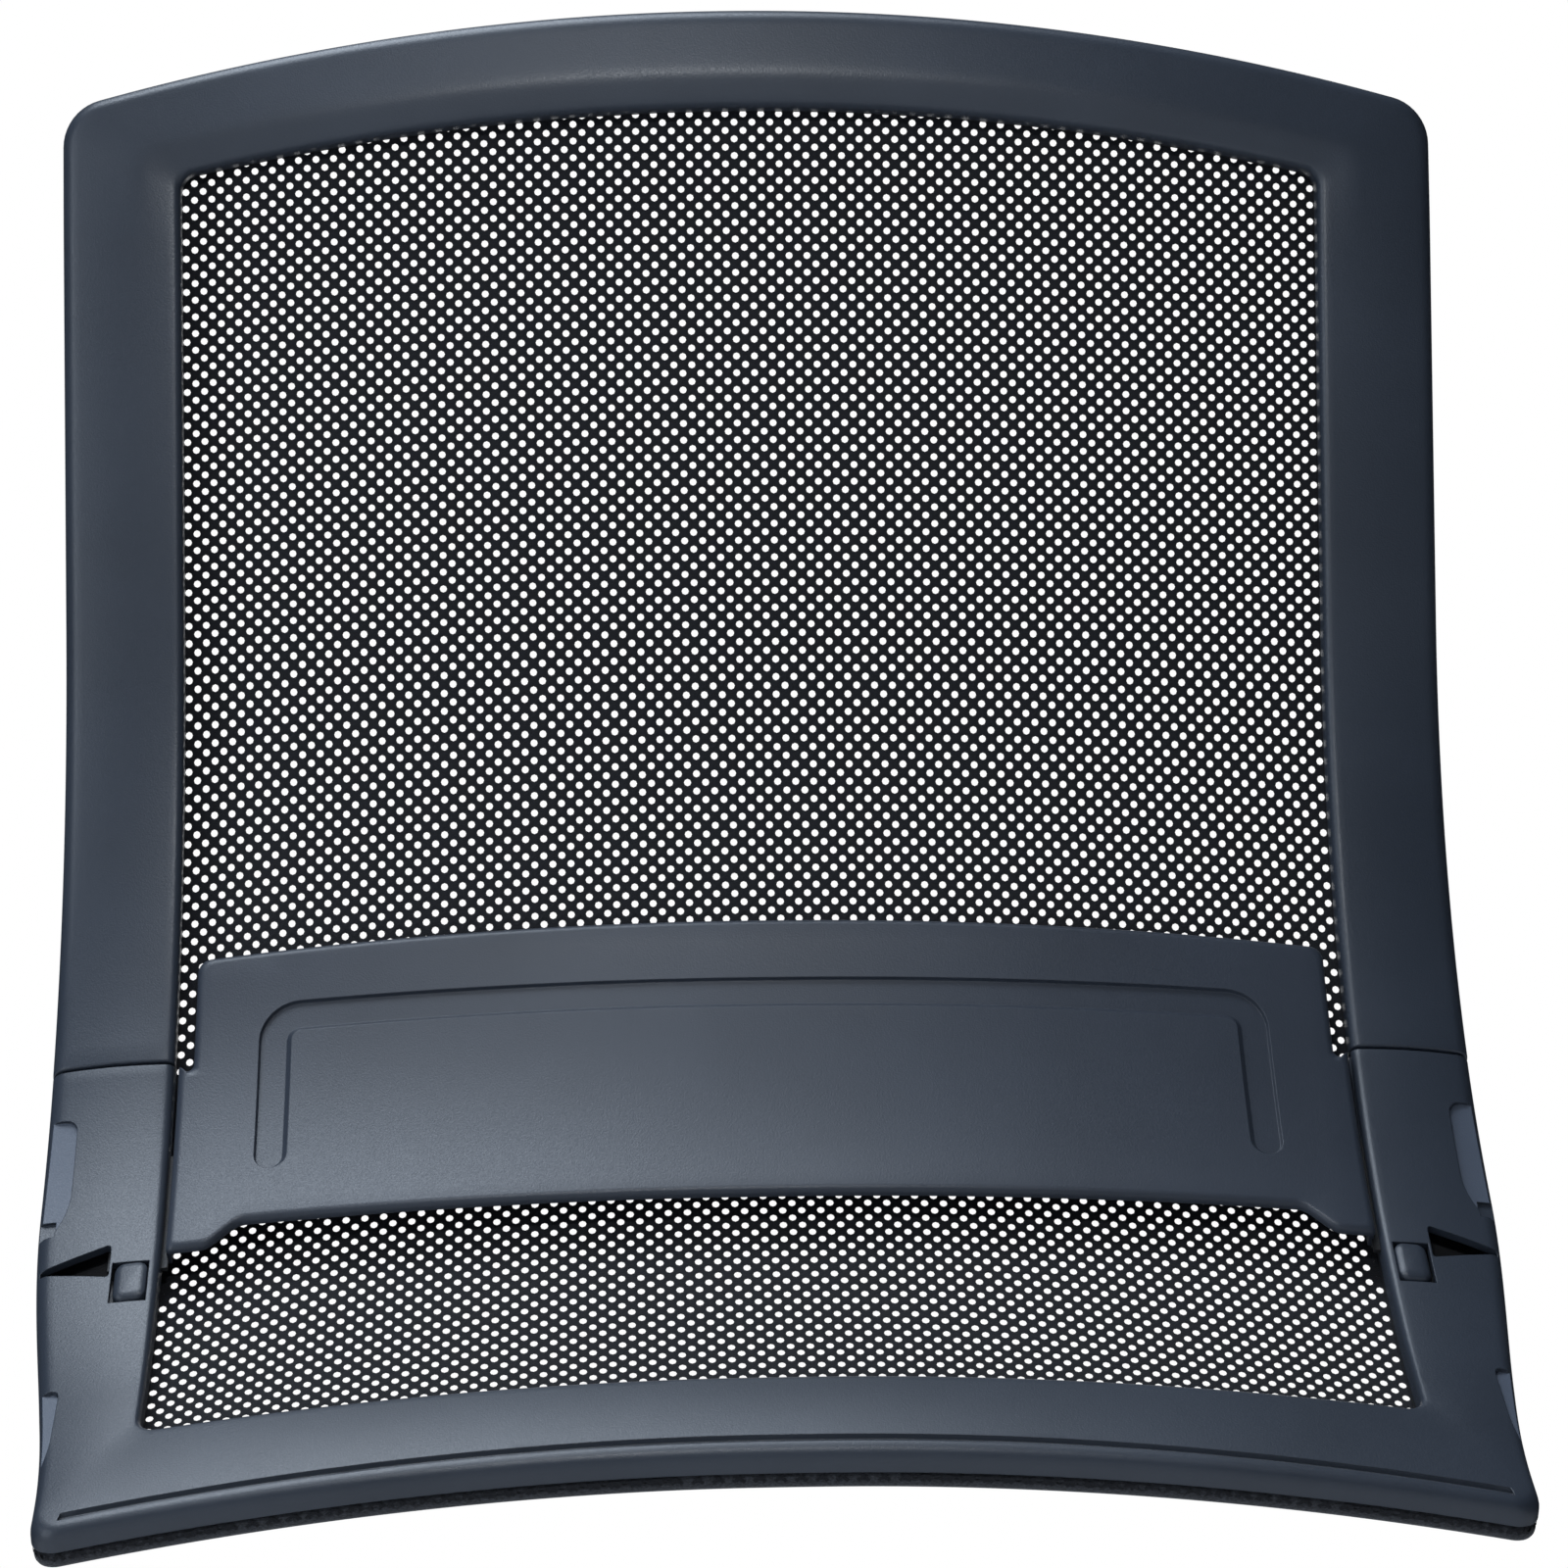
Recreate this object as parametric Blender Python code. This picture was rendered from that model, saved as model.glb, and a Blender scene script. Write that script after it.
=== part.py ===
"""Mesh backrest of an office chair, with a lumbar support panel that slides up and down behind the mesh.

Every piece is first shaped flat, in a sheet frame (x, s, n): x across the back, s down along the surface from the
top of the opening, and n from the rear skin towards the sitter. bend() then lays the sheet frame on the curved back:
straight above, one round arc at the small of the back, straight again below, and dished from side to side.
World frame: metres, +Z up, -Y rear, +X right as seen from behind. The origin is the middle of the bracket seat on
the bottom rail.
"""

import math

import bmesh
import bpy

MM = 0.001

# The curve of the back
UPPER_LEAN = math.radians(20)  # how far the upper part leans back from upright
TURN = math.radians(60)  # how far the lower part turns away from the upper one
ARC_START = 170 * MM  # where the round arc starts, measured down the surface
ARC_RADIUS = 258 * MM
DISH_RADIUS = 1350 * MM  # side-to-side dish
FLAT_HALF = 25 * MM  # the middle is flat from side to side as far as this

# The frame outline
OPEN_HALF = 191 * MM  # half the width of the opening
STILE_WIDTH = 40 * MM
FOOT_NARROWING = 12 * MM  # each stile gets this much narrower towards the bottom rail
TOP_RAIL_HEIGHT = 33 * MM
TOP_CROWN_RADIUS = 910 * MM
OPEN_TOP = -3 * MM
OPEN_BOTTOM = 453 * MM
OPEN_BOTTOM_CROWN_RADIUS = 4500 * MM
BOTTOM_RAIL_HEIGHT = 38 * MM
BOTTOM_CROWN_RADIUS = 2220 * MM
OUTER_CORNER = 16 * MM
FOOT_CORNER = 8 * MM
OPEN_CORNER = 6 * MM

# The rear shells
WALL = 3 * MM
SHELL_DEPTH = 8.6 * MM
SHELL_EDGE = 5 * MM  # rounding of the outer edge
OPEN_EDGE = 1.8 * MM  # rounding of the edge at the opening
SEAM = 310 * MM  # where the upper shell ends and the lower one starts
LOWER_STEP = 0.8 * MM  # the lower shell lies this much below the upper one
BOSS_RADIUS = 4 * MM
FIT = 0.3 * MM  # gap between pieces that touch
SEAM_GAP = 0.5 * MM
SEAT = OPEN_BOTTOM + BOTTOM_RAIL_HEIGHT / 2  # the middle of the bracket seat on the bottom rail
NARROWING_START = SEAM + 50 * MM
NARROWING_LENGTH = OPEN_BOTTOM + 32 * MM - NARROWING_START
GROOVE_INSET = 5.6 * MM
GROOVE_WIDTH = 1.6 * MM
GROOVE_DEPTH = 0.9 * MM

# The sockets for the chair's bracket in the lower shell: (top, bottom, width from the outer edge)
UPPER_POCKET = (SEAM + 17.5 * MM, SEAM + 59.5 * MM, 10 * MM)
LOWER_POCKET = (OPEN_BOTTOM - 19.5 * MM, OPEN_BOTTOM + 18 * MM, 6.5 * MM)
POCKET_DEPTH = 1.5 * MM
WEDGE_HEIGHT = 6.5 * MM  # the deeper end of the upper pocket
WEDGE_DEPTH = 1.2 * MM
WEDGE_WIDTH = 5.5 * MM
HOOK_INSET = 24.5 * MM  # the three-cornered hook socket, from the outer edge
HOOK_TOP = UPPER_POCKET[1] + 5.5 * MM
HOOK_HEIGHT = 13 * MM
HOOK_TIP_INSET = 1.6 * MM

# The carrier and the mesh stretched over it
CARRIER_THICKNESS = 3.8 * MM
CARRIER_INSET = 1.2 * MM
REBATE_WIDTH = 4.6 * MM
REBATE_DEPTH = 1.9 * MM
STRIP_THICKNESS = 1.3 * MM
MESH_THICKNESS = 0.6 * MM
MESH_EDGE = 1 * MM  # the mesh's rounding over the carrier's edge
CARRIER_OPEN_INSET = 0.5 * MM
STRIP_TOP = OPEN_TOP + 28 * MM  # where the side strips start

# The screws that hold the shells on the carrier
SCREW_RADIUS = 1.5 * MM
SCREW_HOLE = 1.85 * MM
HEAD_RADIUS = 3.6 * MM
HEAD_HEIGHT = 1.7 * MM
HEAD_CLEARANCE = 0.5 * MM
TOP_SCREWS = (45 * MM, 140 * MM)
STILE_SCREWS = (80 * MM, 190 * MM)
LOWER_SCREWS = (SEAM + 28 * MM, OPEN_BOTTOM - 25 * MM)
BOTTOM_SCREW = 105 * MM

# The lumbar panel
PANEL_TOP = 269.5 * MM
PANEL_TOP_CROWN_RADIUS = 2500 * MM
PANEL_HEIGHT = 102.5 * MM
PANEL_BOTTOM = PANEL_TOP + PANEL_HEIGHT
PANEL_SIDE_SLOT = 6.5 * MM  # mesh shows in this slot beside the panel's upper part
PANEL_CORNER = 4.5 * MM
PANEL_THICKNESS = 3 * MM
PANEL_PROUD = 1 * MM  # how far the panel stands behind the upper shell
PANEL_EDGE = 2 * MM
EAR_TOP = PANEL_TOP + 44.5 * MM
EAR_BOTTOM = PANEL_BOTTOM + 8.5 * MM
EAR_GAP = 1.5 * MM
EAR_WIDTH = 12 * MM
EAR_SLOPE = 11 * MM
U_HALF = OPEN_HALF - 28 * MM
U_TOP = PANEL_TOP + 21.5 * MM
U_BOTTOM = PANEL_BOTTOM - 20 * MM
U_WIDTH = 8.4 * MM
U_CORNER = 13 * MM
U_DEPTH = 1.2 * MM
RIB_HEIGHT = 5 * MM
RIB_WIDTH = 2 * MM
RIB_PITCH = 60 * MM
RIB_SIDE = 25 * MM  # from the opening's side to the ends of the cross ribs
RIB_TOP = PANEL_TOP + 10 * MM
RIB_BOTTOM = PANEL_BOTTOM - 5 * MM

# The panel's slide
TRAVEL = 30 * MM
NOTCHES = 4
SLIDE_GAP = 0.35 * MM
TONGUE_THICKNESS = 1.5 * MM
TONGUE_TOP = PANEL_BOTTOM - 31 * MM
TONGUE_REACH = 11.6 * MM  # past the edge of the opening
BLOCK_WIDTH = 16.4 * MM
BLOCK_TOP = PANEL_BOTTOM - 36 * MM
BLOCK_BOTTOM = PANEL_BOTTOM - 1 * MM
BLOCK_FRONT = 8 * MM
BLOCK_OUTER = OPEN_HALF - EAR_GAP - 1.1 * MM
SLIDER_SCREWS = (PANEL_BOTTOM - 28 * MM, PANEL_BOTTOM - 9 * MM)
SLIDER_SCREW_X = BLOCK_OUTER - BLOCK_WIDTH / 2
SLIDER_SCREW_RADIUS = 1.3 * MM
SLIDER_SCREW_HOLE = 1.65 * MM
SLIDER_HEAD_RADIUS = 3 * MM
SLIDER_HEAD_HEIGHT = 1.4 * MM
SLIDER_HEAD_DEPTH = 1.9 * MM
SPIGOT_RADIUS = 3.5 * MM  # the panel's spigots, which the slider blocks sit on
SPIGOT_HEIGHT = 2.2 * MM
RAIL_FLANGE = 1 * MM
RAIL_WEB = 3 * MM
RAIL_HEAD = 12 * MM  # solid length above the tongue's travel
STOP_TOP = PANEL_BOTTOM + 11 * MM
STOP_HEIGHT = 15 * MM
STOP_WIDTH = 10.5 * MM
STOP_PROUD = 1.1 * MM
STOP_CHAMFER = 1.2 * MM
GUIDE_SCREW_FLOOR = 1.5 * MM  # solid left behind a guide screw's hole
LEAF = 0.5 * MM
LEAF_LENGTH = 26 * MM
LEAF_BOW = 0.9 * MM
NOTCH_RADIUS = 1.5 * MM

# Facets
ACROSS_STEP = 2 * FLAT_HALF
ARC_STEPS = 14
ROUND = 12  # sides of a round piece
HOLE_SIDES = 10
CROWN_STEPS = 6
SIDE_STEPS = 5
CORNER_STEPS = 4
EDGE_STEPS = 2
LEAF_STEPS = 12
OVERCUT = 1 * MM  # how far a cutter reaches past what it cuts

OUTER_HALF = OPEN_HALF + STILE_WIDTH
PANEL_BACK = -PANEL_PROUD
PANEL_FRONT = PANEL_BACK + PANEL_THICKNESS
CARRIER_BACK = SHELL_DEPTH + FIT
CARRIER_FRONT = CARRIER_BACK + CARRIER_THICKNESS
MESH_BACK = CARRIER_FRONT + FIT
MESH_FRONT = MESH_BACK + MESH_THICKNESS
LOWER_FLOOR = LOWER_STEP + WALL
RAIL_BACK = LOWER_FLOOR + FIT
TONGUE_BACK = RAIL_BACK + RAIL_FLANGE + SLIDE_GAP
TONGUE_FRONT = TONGUE_BACK + TONGUE_THICKNESS
TONGUE_BOTTOM = STOP_TOP - SLIDE_GAP
TONGUE_END = OPEN_HALF + TONGUE_REACH
RAIL_INNER = OPEN_HALF + WALL + FIT
WEB_FACE = TONGUE_END + 2 * FIT + 3 * LEAF
RAIL_OUTER = WEB_FACE + RAIL_WEB
RAIL_TOP = TONGUE_TOP - TRAVEL - RAIL_HEAD
STOP_INNER = OPEN_HALF + WALL + FIT
STOP_BACK = LOWER_STEP - STOP_PROUD
ARC_LENGTH = ARC_RADIUS * TURN
ARC_END = ARC_START + ARC_LENGTH


# --- the curved back --------------------


def lean(s):
    """The surface's lean at s: positive leans back going up."""
    turned = min(max((s - ARC_START) / ARC_LENGTH, 0), 1) * TURN
    return UPPER_LEAN - turned


def spine(s):
    """(y, z) of the rear skin's middle line, from the start of the arc."""
    if s <= ARC_START:
        run = s - ARC_START
        return run * math.sin(UPPER_LEAN), -run * math.cos(UPPER_LEAN)
    end = lean(s)
    y = ARC_RADIUS * (math.cos(end) - math.cos(UPPER_LEAN))
    z = -ARC_RADIUS * (math.sin(UPPER_LEAN) - math.sin(end))
    run = max(s - ARC_END, 0)
    return y + run * math.sin(end), z - run * math.cos(end)


def place(x, s, n):
    y, z = spine(s)
    angle = lean(s)
    depth = n + (max(abs(x), FLAT_HALF) ** 2 - FLAT_HALF**2) / (2 * DISH_RADIUS)
    return x, y + depth * math.cos(angle), z + depth * math.sin(angle)


ORIGIN = place(0, SEAT, LOWER_STEP)


def bend(x, s, n):
    return tuple(a - b for a, b in zip(place(x, s, n), ORIGIN))


def slide_axis():
    """(y, z) of the arc's centre, which the panel slides round."""
    y, z = spine(ARC_START)
    middle_y = y - ARC_RADIUS * math.cos(UPPER_LEAN) - ORIGIN[1]
    middle_z = z - ARC_RADIUS * math.sin(UPPER_LEAN) - ORIGIN[2]
    return middle_y, middle_z


# --- outlines in (x, s) --------------------


def half_edge(half, edge, crown, radius):
    """A crowned edge from the middle to a side at x = half, ending in its rounded corner."""
    angle = math.atan(half / crown)
    for _ in range(4):
        tangent = half - radius + radius * math.sin(angle)
        angle = math.atan(tangent / crown)
    across = [tangent * i / CROWN_STEPS for i in range(CROWN_STEPS + 1)]
    points = [(x, edge + x * x / (2 * crown)) for x in across]
    middle = (half - radius, points[-1][1] + radius * math.cos(angle))
    for i in range(1, CORNER_STEPS + 1):
        turn = (angle - math.pi / 2) * (1 - i / CORNER_STEPS)
        points.append((middle[0] + radius * math.cos(turn), middle[1] + radius * math.sin(turn)))
    return points


def upside_down(points):
    return [(x, -s) for x, s in points]


def mirrored(points):
    return [(-x, s) for x, s in reversed(points)]


def outer_top(inset):
    edge = OPEN_TOP - TOP_RAIL_HEIGHT + inset
    return half_edge(OUTER_HALF - inset, edge, TOP_CROWN_RADIUS, OUTER_CORNER - inset)


def open_top(inset):
    return half_edge(OPEN_HALF + inset, OPEN_TOP - inset, TOP_CROWN_RADIUS, OPEN_CORNER + inset)


def open_bottom(inset):
    edge = half_edge(
        OPEN_HALF + inset, -OPEN_BOTTOM - inset, -OPEN_BOTTOM_CROWN_RADIUS, OPEN_CORNER + inset
    )
    return upside_down(edge)


def outer_bottom(inset):
    half = OUTER_HALF - FOOT_NARROWING - inset
    edge = -(OPEN_BOTTOM + BOTTOM_RAIL_HEIGHT) + inset
    return upside_down(half_edge(half, edge, -BOTTOM_CROWN_RADIUS, max(FOOT_CORNER - inset, 1 * MM)))


def outer_side(inset, top):
    """Down the outer side from top to where the foot's corner starts."""
    points = [(OUTER_HALF - inset, top)] if top < NARROWING_START else []
    for i in range(SIDE_STEPS + 1):
        t = i / SIDE_STEPS
        narrow = FOOT_NARROWING * t * t * (3 - 2 * t)
        s = NARROWING_START + NARROWING_LENGTH * t
        points.append((OUTER_HALF - narrow - inset, s))
    return points


def outer_half_at(s):
    t = min(max((s - NARROWING_START) / NARROWING_LENGTH, 0), 1)
    return OUTER_HALF - FOOT_NARROWING * t * t * (3 - 2 * t)


def whole_outer(inset):
    """The whole outer outline, one loop."""
    foot = outer_bottom(inset)
    side = outer_top(inset) + outer_side(inset, (OPEN_TOP + SEAM) / 2) + foot[::-1]
    return side + mirrored(side)[1:-1]


def whole_opening(inset):
    side = open_top(inset) + open_bottom(inset)[::-1]
    return side + mirrored(side)[1:-1]


def upper_outline(outer, inner, seam):
    right = outer_top(outer) + [(OUTER_HALF - outer, SEAM - seam), (OPEN_HALF + inner, SEAM - seam)]
    right += open_top(inner)[::-1]
    left = mirrored(right)
    # The outer edge runs over the middle line from left to right, and the opening's edge back again.
    outside = len(outer_top(outer)) + 1
    return left[-outside:-1] + right + left[1:-outside]


def lower_outline(outer, inner, seam):
    right = outer_side(outer, SEAM + seam) + outer_bottom(outer)[::-1]
    inside = [(OPEN_HALF + inner, SEAM + seam)] + open_bottom(inner)[::-1]
    return right + mirrored(right)[1:] + [(-x, s) for x, s in inside] + inside[::-1][1:]


def panel_outline(inset):
    upper_half = OPEN_HALF - PANEL_SIDE_SLOT - inset
    ear_half = OPEN_HALF - EAR_GAP - inset
    bottom = PANEL_BOTTOM - inset
    ear_top = EAR_TOP + inset
    ear_bottom = EAR_BOTTOM - inset
    slope_top = OPEN_HALF - EAR_GAP - EAR_WIDTH - EAR_SLOPE
    bevel = 1.5 * MM
    points = half_edge(upper_half, PANEL_TOP + inset, PANEL_TOP_CROWN_RADIUS, PANEL_CORNER)
    reach = (ear_half - upper_half) / 2
    for i in range(1, 6):
        turn = math.pi * (1 - i / 6)
        x = upper_half + reach + reach * math.cos(turn)
        points.append((x, ear_top - reach + reach * math.sin(turn)))
    points.append((ear_half, ear_top - reach))
    points += [(ear_half, ear_bottom - bevel), (ear_half - bevel, ear_bottom)]
    points += [(slope_top + EAR_SLOPE, ear_bottom), (slope_top, bottom), (0, bottom)]
    return points + mirrored(points)[1:-1]


def u_outline():
    """The groove pressed into the panel: a run along the top and two legs with round ends."""
    outer = half_edge(U_HALF, U_TOP, PANEL_TOP_CROWN_RADIUS * 2, U_CORNER)
    inner = half_edge(U_HALF - U_WIDTH, U_TOP + U_WIDTH, PANEL_TOP_CROWN_RADIUS * 2, U_CORNER - U_WIDTH)
    middle = U_HALF - U_WIDTH / 2
    end = [
        (middle + U_WIDTH / 2 * math.cos(turn), U_BOTTOM - U_WIDTH / 2 + U_WIDTH / 2 * math.sin(turn))
        for turn in (math.pi * i / 6 for i in range(7))
    ]
    half = outer + end + inner[::-1]
    return half + mirrored(half)[1:-1]


# --- flat solids --------------------


def solid(name, bm):
    bmesh.ops.remove_doubles(bm, verts=bm.verts, dist=1e-6)
    bmesh.ops.recalc_face_normals(bm, faces=bm.faces)
    mesh = bpy.data.meshes.new(name)
    bm.to_mesh(mesh)
    bm.free()
    return mesh


def lofted(levels):
    """A closed solid through levels of (outline, n), all outlines with the same number of points."""
    bm = bmesh.new()
    rings = [[bm.verts.new((x, s, n)) for x, s in outline] for outline, n in levels]
    for lower, upper in zip(rings, rings[1:]):
        for i in range(len(lower)):
            j = (i + 1) % len(lower)
            bm.faces.new((lower[i], lower[j], upper[j], upper[i]))
    bm.faces.new(rings[0])
    bm.faces.new(rings[-1])
    return solid("loft", bm)


def box(x0, x1, s0, s1, n0, n1):
    outline = [(x0, s0), (x1, s0), (x1, s1), (x0, s1)]
    return lofted([(outline, n0), (outline, n1)])


def prism(outline, n0, n1):
    return lofted([(outline, n0), (outline, n1)])


def disc(x, s, radius, n0, n1, sides=ROUND):
    turns = [2 * math.pi * i / sides for i in range(sides)]
    return prism([(x + radius * math.cos(a), s + radius * math.sin(a)) for a in turns], n0, n1)


def turned(x, s, profile, sides=HOLE_SIDES):
    """A solid turned about a line along n, through (radius, n) from back to front."""
    levels = []
    for radius, n in profile:
        turns = [2 * math.pi * i / sides for i in range(sides)]
        levels.append(([(x + radius * math.cos(a), s + radius * math.sin(a)) for a in turns], n))
    return lofted(levels)


def flipped(mesh):
    """The mirror image across the middle plane."""
    bm = bmesh.new()
    bm.from_mesh(mesh)
    for vertex in bm.verts:
        vertex.co.x = -vertex.co.x
    bmesh.ops.reverse_faces(bm, faces=bm.faces)
    made = bpy.data.meshes.new("flip")
    bm.to_mesh(made)
    bm.free()
    return made


def both(mesh):
    return [mesh, flipped(mesh)]


def boolean(mesh, tools, operation):
    """mesh with each of the tools cut away or joined on."""
    base = bpy.data.objects.new("base", mesh)
    bpy.context.collection.objects.link(base)
    helpers = []
    for tool in tools:
        helper = bpy.data.objects.new("tool", tool)
        bpy.context.collection.objects.link(helper)
        modifier = base.modifiers.new("boolean", "BOOLEAN")
        modifier.operation = operation
        modifier.object = helper
        helpers.append(helper)
    bpy.context.view_layer.update()
    graph = bpy.context.evaluated_depsgraph_get()
    result = bpy.data.meshes.new_from_object(base.evaluated_get(graph))
    for helper in [base] + helpers:
        bpy.data.objects.remove(helper)
    return result


def cut(mesh, tools):
    return boolean(mesh, tools, "DIFFERENCE")


def join(mesh, tools):
    return boolean(mesh, tools, "UNION")


# --- from flat solids to nodes --------------------


def stations():
    """Where the facets are cut: lines of x across, and lines of s round the arc."""
    count = int(OUTER_HALF / ACROSS_STEP) + 1
    across = [ACROSS_STEP * (i + 0.5) for i in range(count)]
    down = [ARC_START + ARC_LENGTH * i / ARC_STEPS for i in range(ARC_STEPS + 1)]
    return [-x for x in across] + across, down


def node(name, mesh, material, parent, small=False):
    bm = bmesh.new()
    bm.from_mesh(mesh)
    across, down = stations()
    low = [min(vertex.co[i] for vertex in bm.verts) for i in range(2)]
    high = [max(vertex.co[i] for vertex in bm.verts) for i in range(2)]
    for axis, places in ((0, across), (1, down)):
        normal = (1, 0, 0) if axis == 0 else (0, 1, 0)
        for where in places:
            if not small and low[axis] + FIT < where < high[axis] - FIT:
                geometry = bm.verts[:] + bm.edges[:] + bm.faces[:]
                point = tuple(where * part for part in normal)
                bmesh.ops.bisect_plane(bm, geom=geometry, dist=1e-6, plane_co=point, plane_no=normal)
    bmesh.ops.triangulate(bm, faces=bm.faces)
    for vertex in bm.verts:
        vertex.co = bend(*vertex.co)
    made = bpy.data.meshes.new(name)
    bm.to_mesh(made)
    bm.free()
    made.shade_smooth()
    made.set_sharp_from_angle(angle=math.radians(30))
    made.materials.append(material)
    item = bpy.data.objects.new(name, made)
    bpy.context.collection.objects.link(item)
    item.parent = parent
    item.matrix_parent_inverse = parent.matrix_world.inverted()
    return item


def pair(name, mesh, material, parent, small=False):
    for side, part in (("right", mesh), ("left", flipped(mesh))):
        node(f"{name}_{side}", part, material, parent, small)


def material(name, colour, roughness, metallic=0.0):
    made = bpy.data.materials.new(name)
    made.use_nodes = True
    shader = made.node_tree.nodes["Principled BSDF"]
    shader.inputs["Base Color"].default_value = (*colour, 1)
    shader.inputs["Roughness"].default_value = roughness
    shader.inputs["Metallic"].default_value = metallic
    return made


# --- the pieces --------------------


def frame_screw_places(lower):
    """(x, s) of the screws on the right half."""
    if lower:
        foot = OPEN_BOTTOM + BOTTOM_RAIL_HEIGHT / 2 - 1 * MM
        boss_side = OPEN_HALF + WALL + FIT + RAIL_OUTER - RAIL_INNER
        high = ((boss_side + OUTER_HALF - WALL) / 2 + 1 * MM, LOWER_SCREWS[0])
        low_half = outer_half_at(LOWER_SCREWS[1])
        return [high, ((OPEN_HALF + low_half) / 2, LOWER_SCREWS[1]), (BOTTOM_SCREW, foot)]
    middle = OPEN_TOP - TOP_RAIL_HEIGHT / 2
    top = [(x, middle + x * x / (2 * TOP_CROWN_RADIUS)) for x in TOP_SCREWS]
    return top + [(OPEN_HALF + STILE_WIDTH / 2, s) for s in STILE_SCREWS]


def bosses(lower):
    floor = (LOWER_STEP if lower else 0) + WALL
    made = []
    for x, s in frame_screw_places(lower):
        for side in (x, -x):
            made.append(disc(side, s, BOSS_RADIUS, floor - OVERCUT, SHELL_DEPTH))
    return made


def pilot_holes(lower):
    floor = (LOWER_STEP if lower else 0) + WALL
    made = []
    for x, s in frame_screw_places(lower):
        for side in (x, -x):
            made.append(disc(side, s, SCREW_HOLE, floor - 2 * FIT, SHELL_DEPTH + OVERCUT, HOLE_SIDES))
    return made


def tongue_slots():
    """The slots in the inner walls that the slider's tongues reach through."""
    top = TONGUE_TOP - TRAVEL - 1 * MM
    inner = OPEN_HALF - OVERCUT
    outer = OPEN_HALF + WALL + FIT / 3
    slot = box(inner, outer, top, STOP_TOP, TONGUE_BACK - 2 * SLIDE_GAP, TONGUE_FRONT + 2 * SLIDE_GAP)
    return both(slot)


def rounded_levels(outline, back, edge_outer, edge_inner):
    """Levels for a shell whose back edges are rounded."""
    levels = []
    for i in range(EDGE_STEPS + 1):
        turn = math.pi / 2 * i / EDGE_STEPS
        share = 1 - math.sin(turn)
        depth = back + edge_outer * (1 - math.cos(turn))
        levels.append((outline(edge_outer * share, edge_inner * share, SEAM_GAP / 2), depth))
    levels.append((outline(0, 0, SEAM_GAP / 2), SHELL_DEPTH))
    return levels


def upper_shell(parent, plastic):
    body = lofted(rounded_levels(upper_outline, 0, SHELL_EDGE, OPEN_EDGE))
    hollow_outline = upper_outline(WALL, WALL, SEAM_GAP / 2 + WALL)
    body = cut(body, [prism(hollow_outline, WALL, SHELL_DEPTH + OVERCUT)])
    body = join(body, bosses(False))
    body = cut(body, pilot_holes(False) + tongue_slots() + seam_reliefs())
    return node("rear_upper_shell", body, plastic, parent)


def seam_reliefs():
    """Room in the seam walls for the panel's rails, which pass under both shells."""
    half = WALL + OVERCUT
    relief = box(
        RAIL_INNER - FIT, RAIL_OUTER + FIT, SEAM - half, SEAM + half, RAIL_BACK - FIT, SHELL_DEPTH + OVERCUT
    )
    return both(relief)


def hook_socket():
    edge = outer_half_at(HOOK_TOP + HOOK_HEIGHT / 2)
    inner = OUTER_HALF - HOOK_INSET
    outline = [
        (inner, HOOK_TOP),
        (inner, HOOK_TOP + HOOK_HEIGHT),
        (edge - HOOK_TIP_INSET, HOOK_TOP + HOOK_HEIGHT * 0.55),
        (edge - HOOK_TIP_INSET, HOOK_TOP + HOOK_HEIGHT * 0.5),
    ]
    return prism(outline, LOWER_STEP - OVERCUT, LOWER_FLOOR + FIT)


def pocket(top, bottom, width, depth, taper):
    inner = outer_half_at(top) - width
    outside = OUTER_HALF + OVERCUT
    cornered = min(width / 3, 3 * MM)
    outline = [
        (outside, top),
        (inner + cornered, top),
        (inner, top + cornered),
        (inner + taper / 3, bottom - 3 * cornered),
        (inner + taper, bottom),
        (outside, bottom),
    ]
    return prism(outline, LOWER_STEP - 2 * OVERCUT, LOWER_STEP + depth)


def lower_shell(parent, plastic):
    body = lofted(rounded_levels(lower_outline, LOWER_STEP, SHELL_EDGE, OPEN_EDGE))
    hollow_outline = lower_outline(WALL, WALL, SEAM_GAP / 2 + WALL)
    body = cut(body, [prism(hollow_outline, LOWER_FLOOR, SHELL_DEPTH + OVERCUT)])
    body = join(body, bosses(True))
    top, bottom, width = UPPER_POCKET
    cuts = both(pocket(top, bottom, width, POCKET_DEPTH, width * 0.4))
    edge = outer_half_at(bottom)
    wedge = box(
        edge - WEDGE_WIDTH, OUTER_HALF + 2 * OVERCUT, bottom - WEDGE_HEIGHT, bottom - FIT,
        LOWER_STEP - OVERCUT, LOWER_STEP + POCKET_DEPTH + WEDGE_DEPTH,
    )
    cuts += both(wedge)
    top, bottom, width = LOWER_POCKET
    cuts += both(pocket(top, bottom, width, POCKET_DEPTH, width * 0.3))
    cuts += both(hook_socket())
    window = box(
        STOP_INNER - FIT, STOP_INNER + STOP_WIDTH + FIT, STOP_TOP - FIT, STOP_TOP + STOP_HEIGHT + FIT,
        LOWER_STEP - OVERCUT, LOWER_FLOOR + OVERCUT,
    )
    cuts += both(window)
    cuts += [foot_groove()]
    body = cut(body, pilot_holes(True) + tongue_slots() + seam_reliefs() + cuts)
    return node("rear_lower_shell", body, plastic, parent)


def foot_groove():
    """The shadow line along the bottom rail."""
    upper = outer_bottom(GROOVE_INSET + GROOVE_WIDTH)
    lower = outer_bottom(GROOVE_INSET)
    reach = CROWN_STEPS + 1  # the points before the edge's corner
    right = upper[:reach] + lower[:reach][::-1]
    outline = mirrored(upper[:reach])[:-1] + right + mirrored(lower[:reach][::-1])[1:]
    return prism(outline, LOWER_STEP - OVERCUT, LOWER_STEP + GROOVE_DEPTH)


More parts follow.
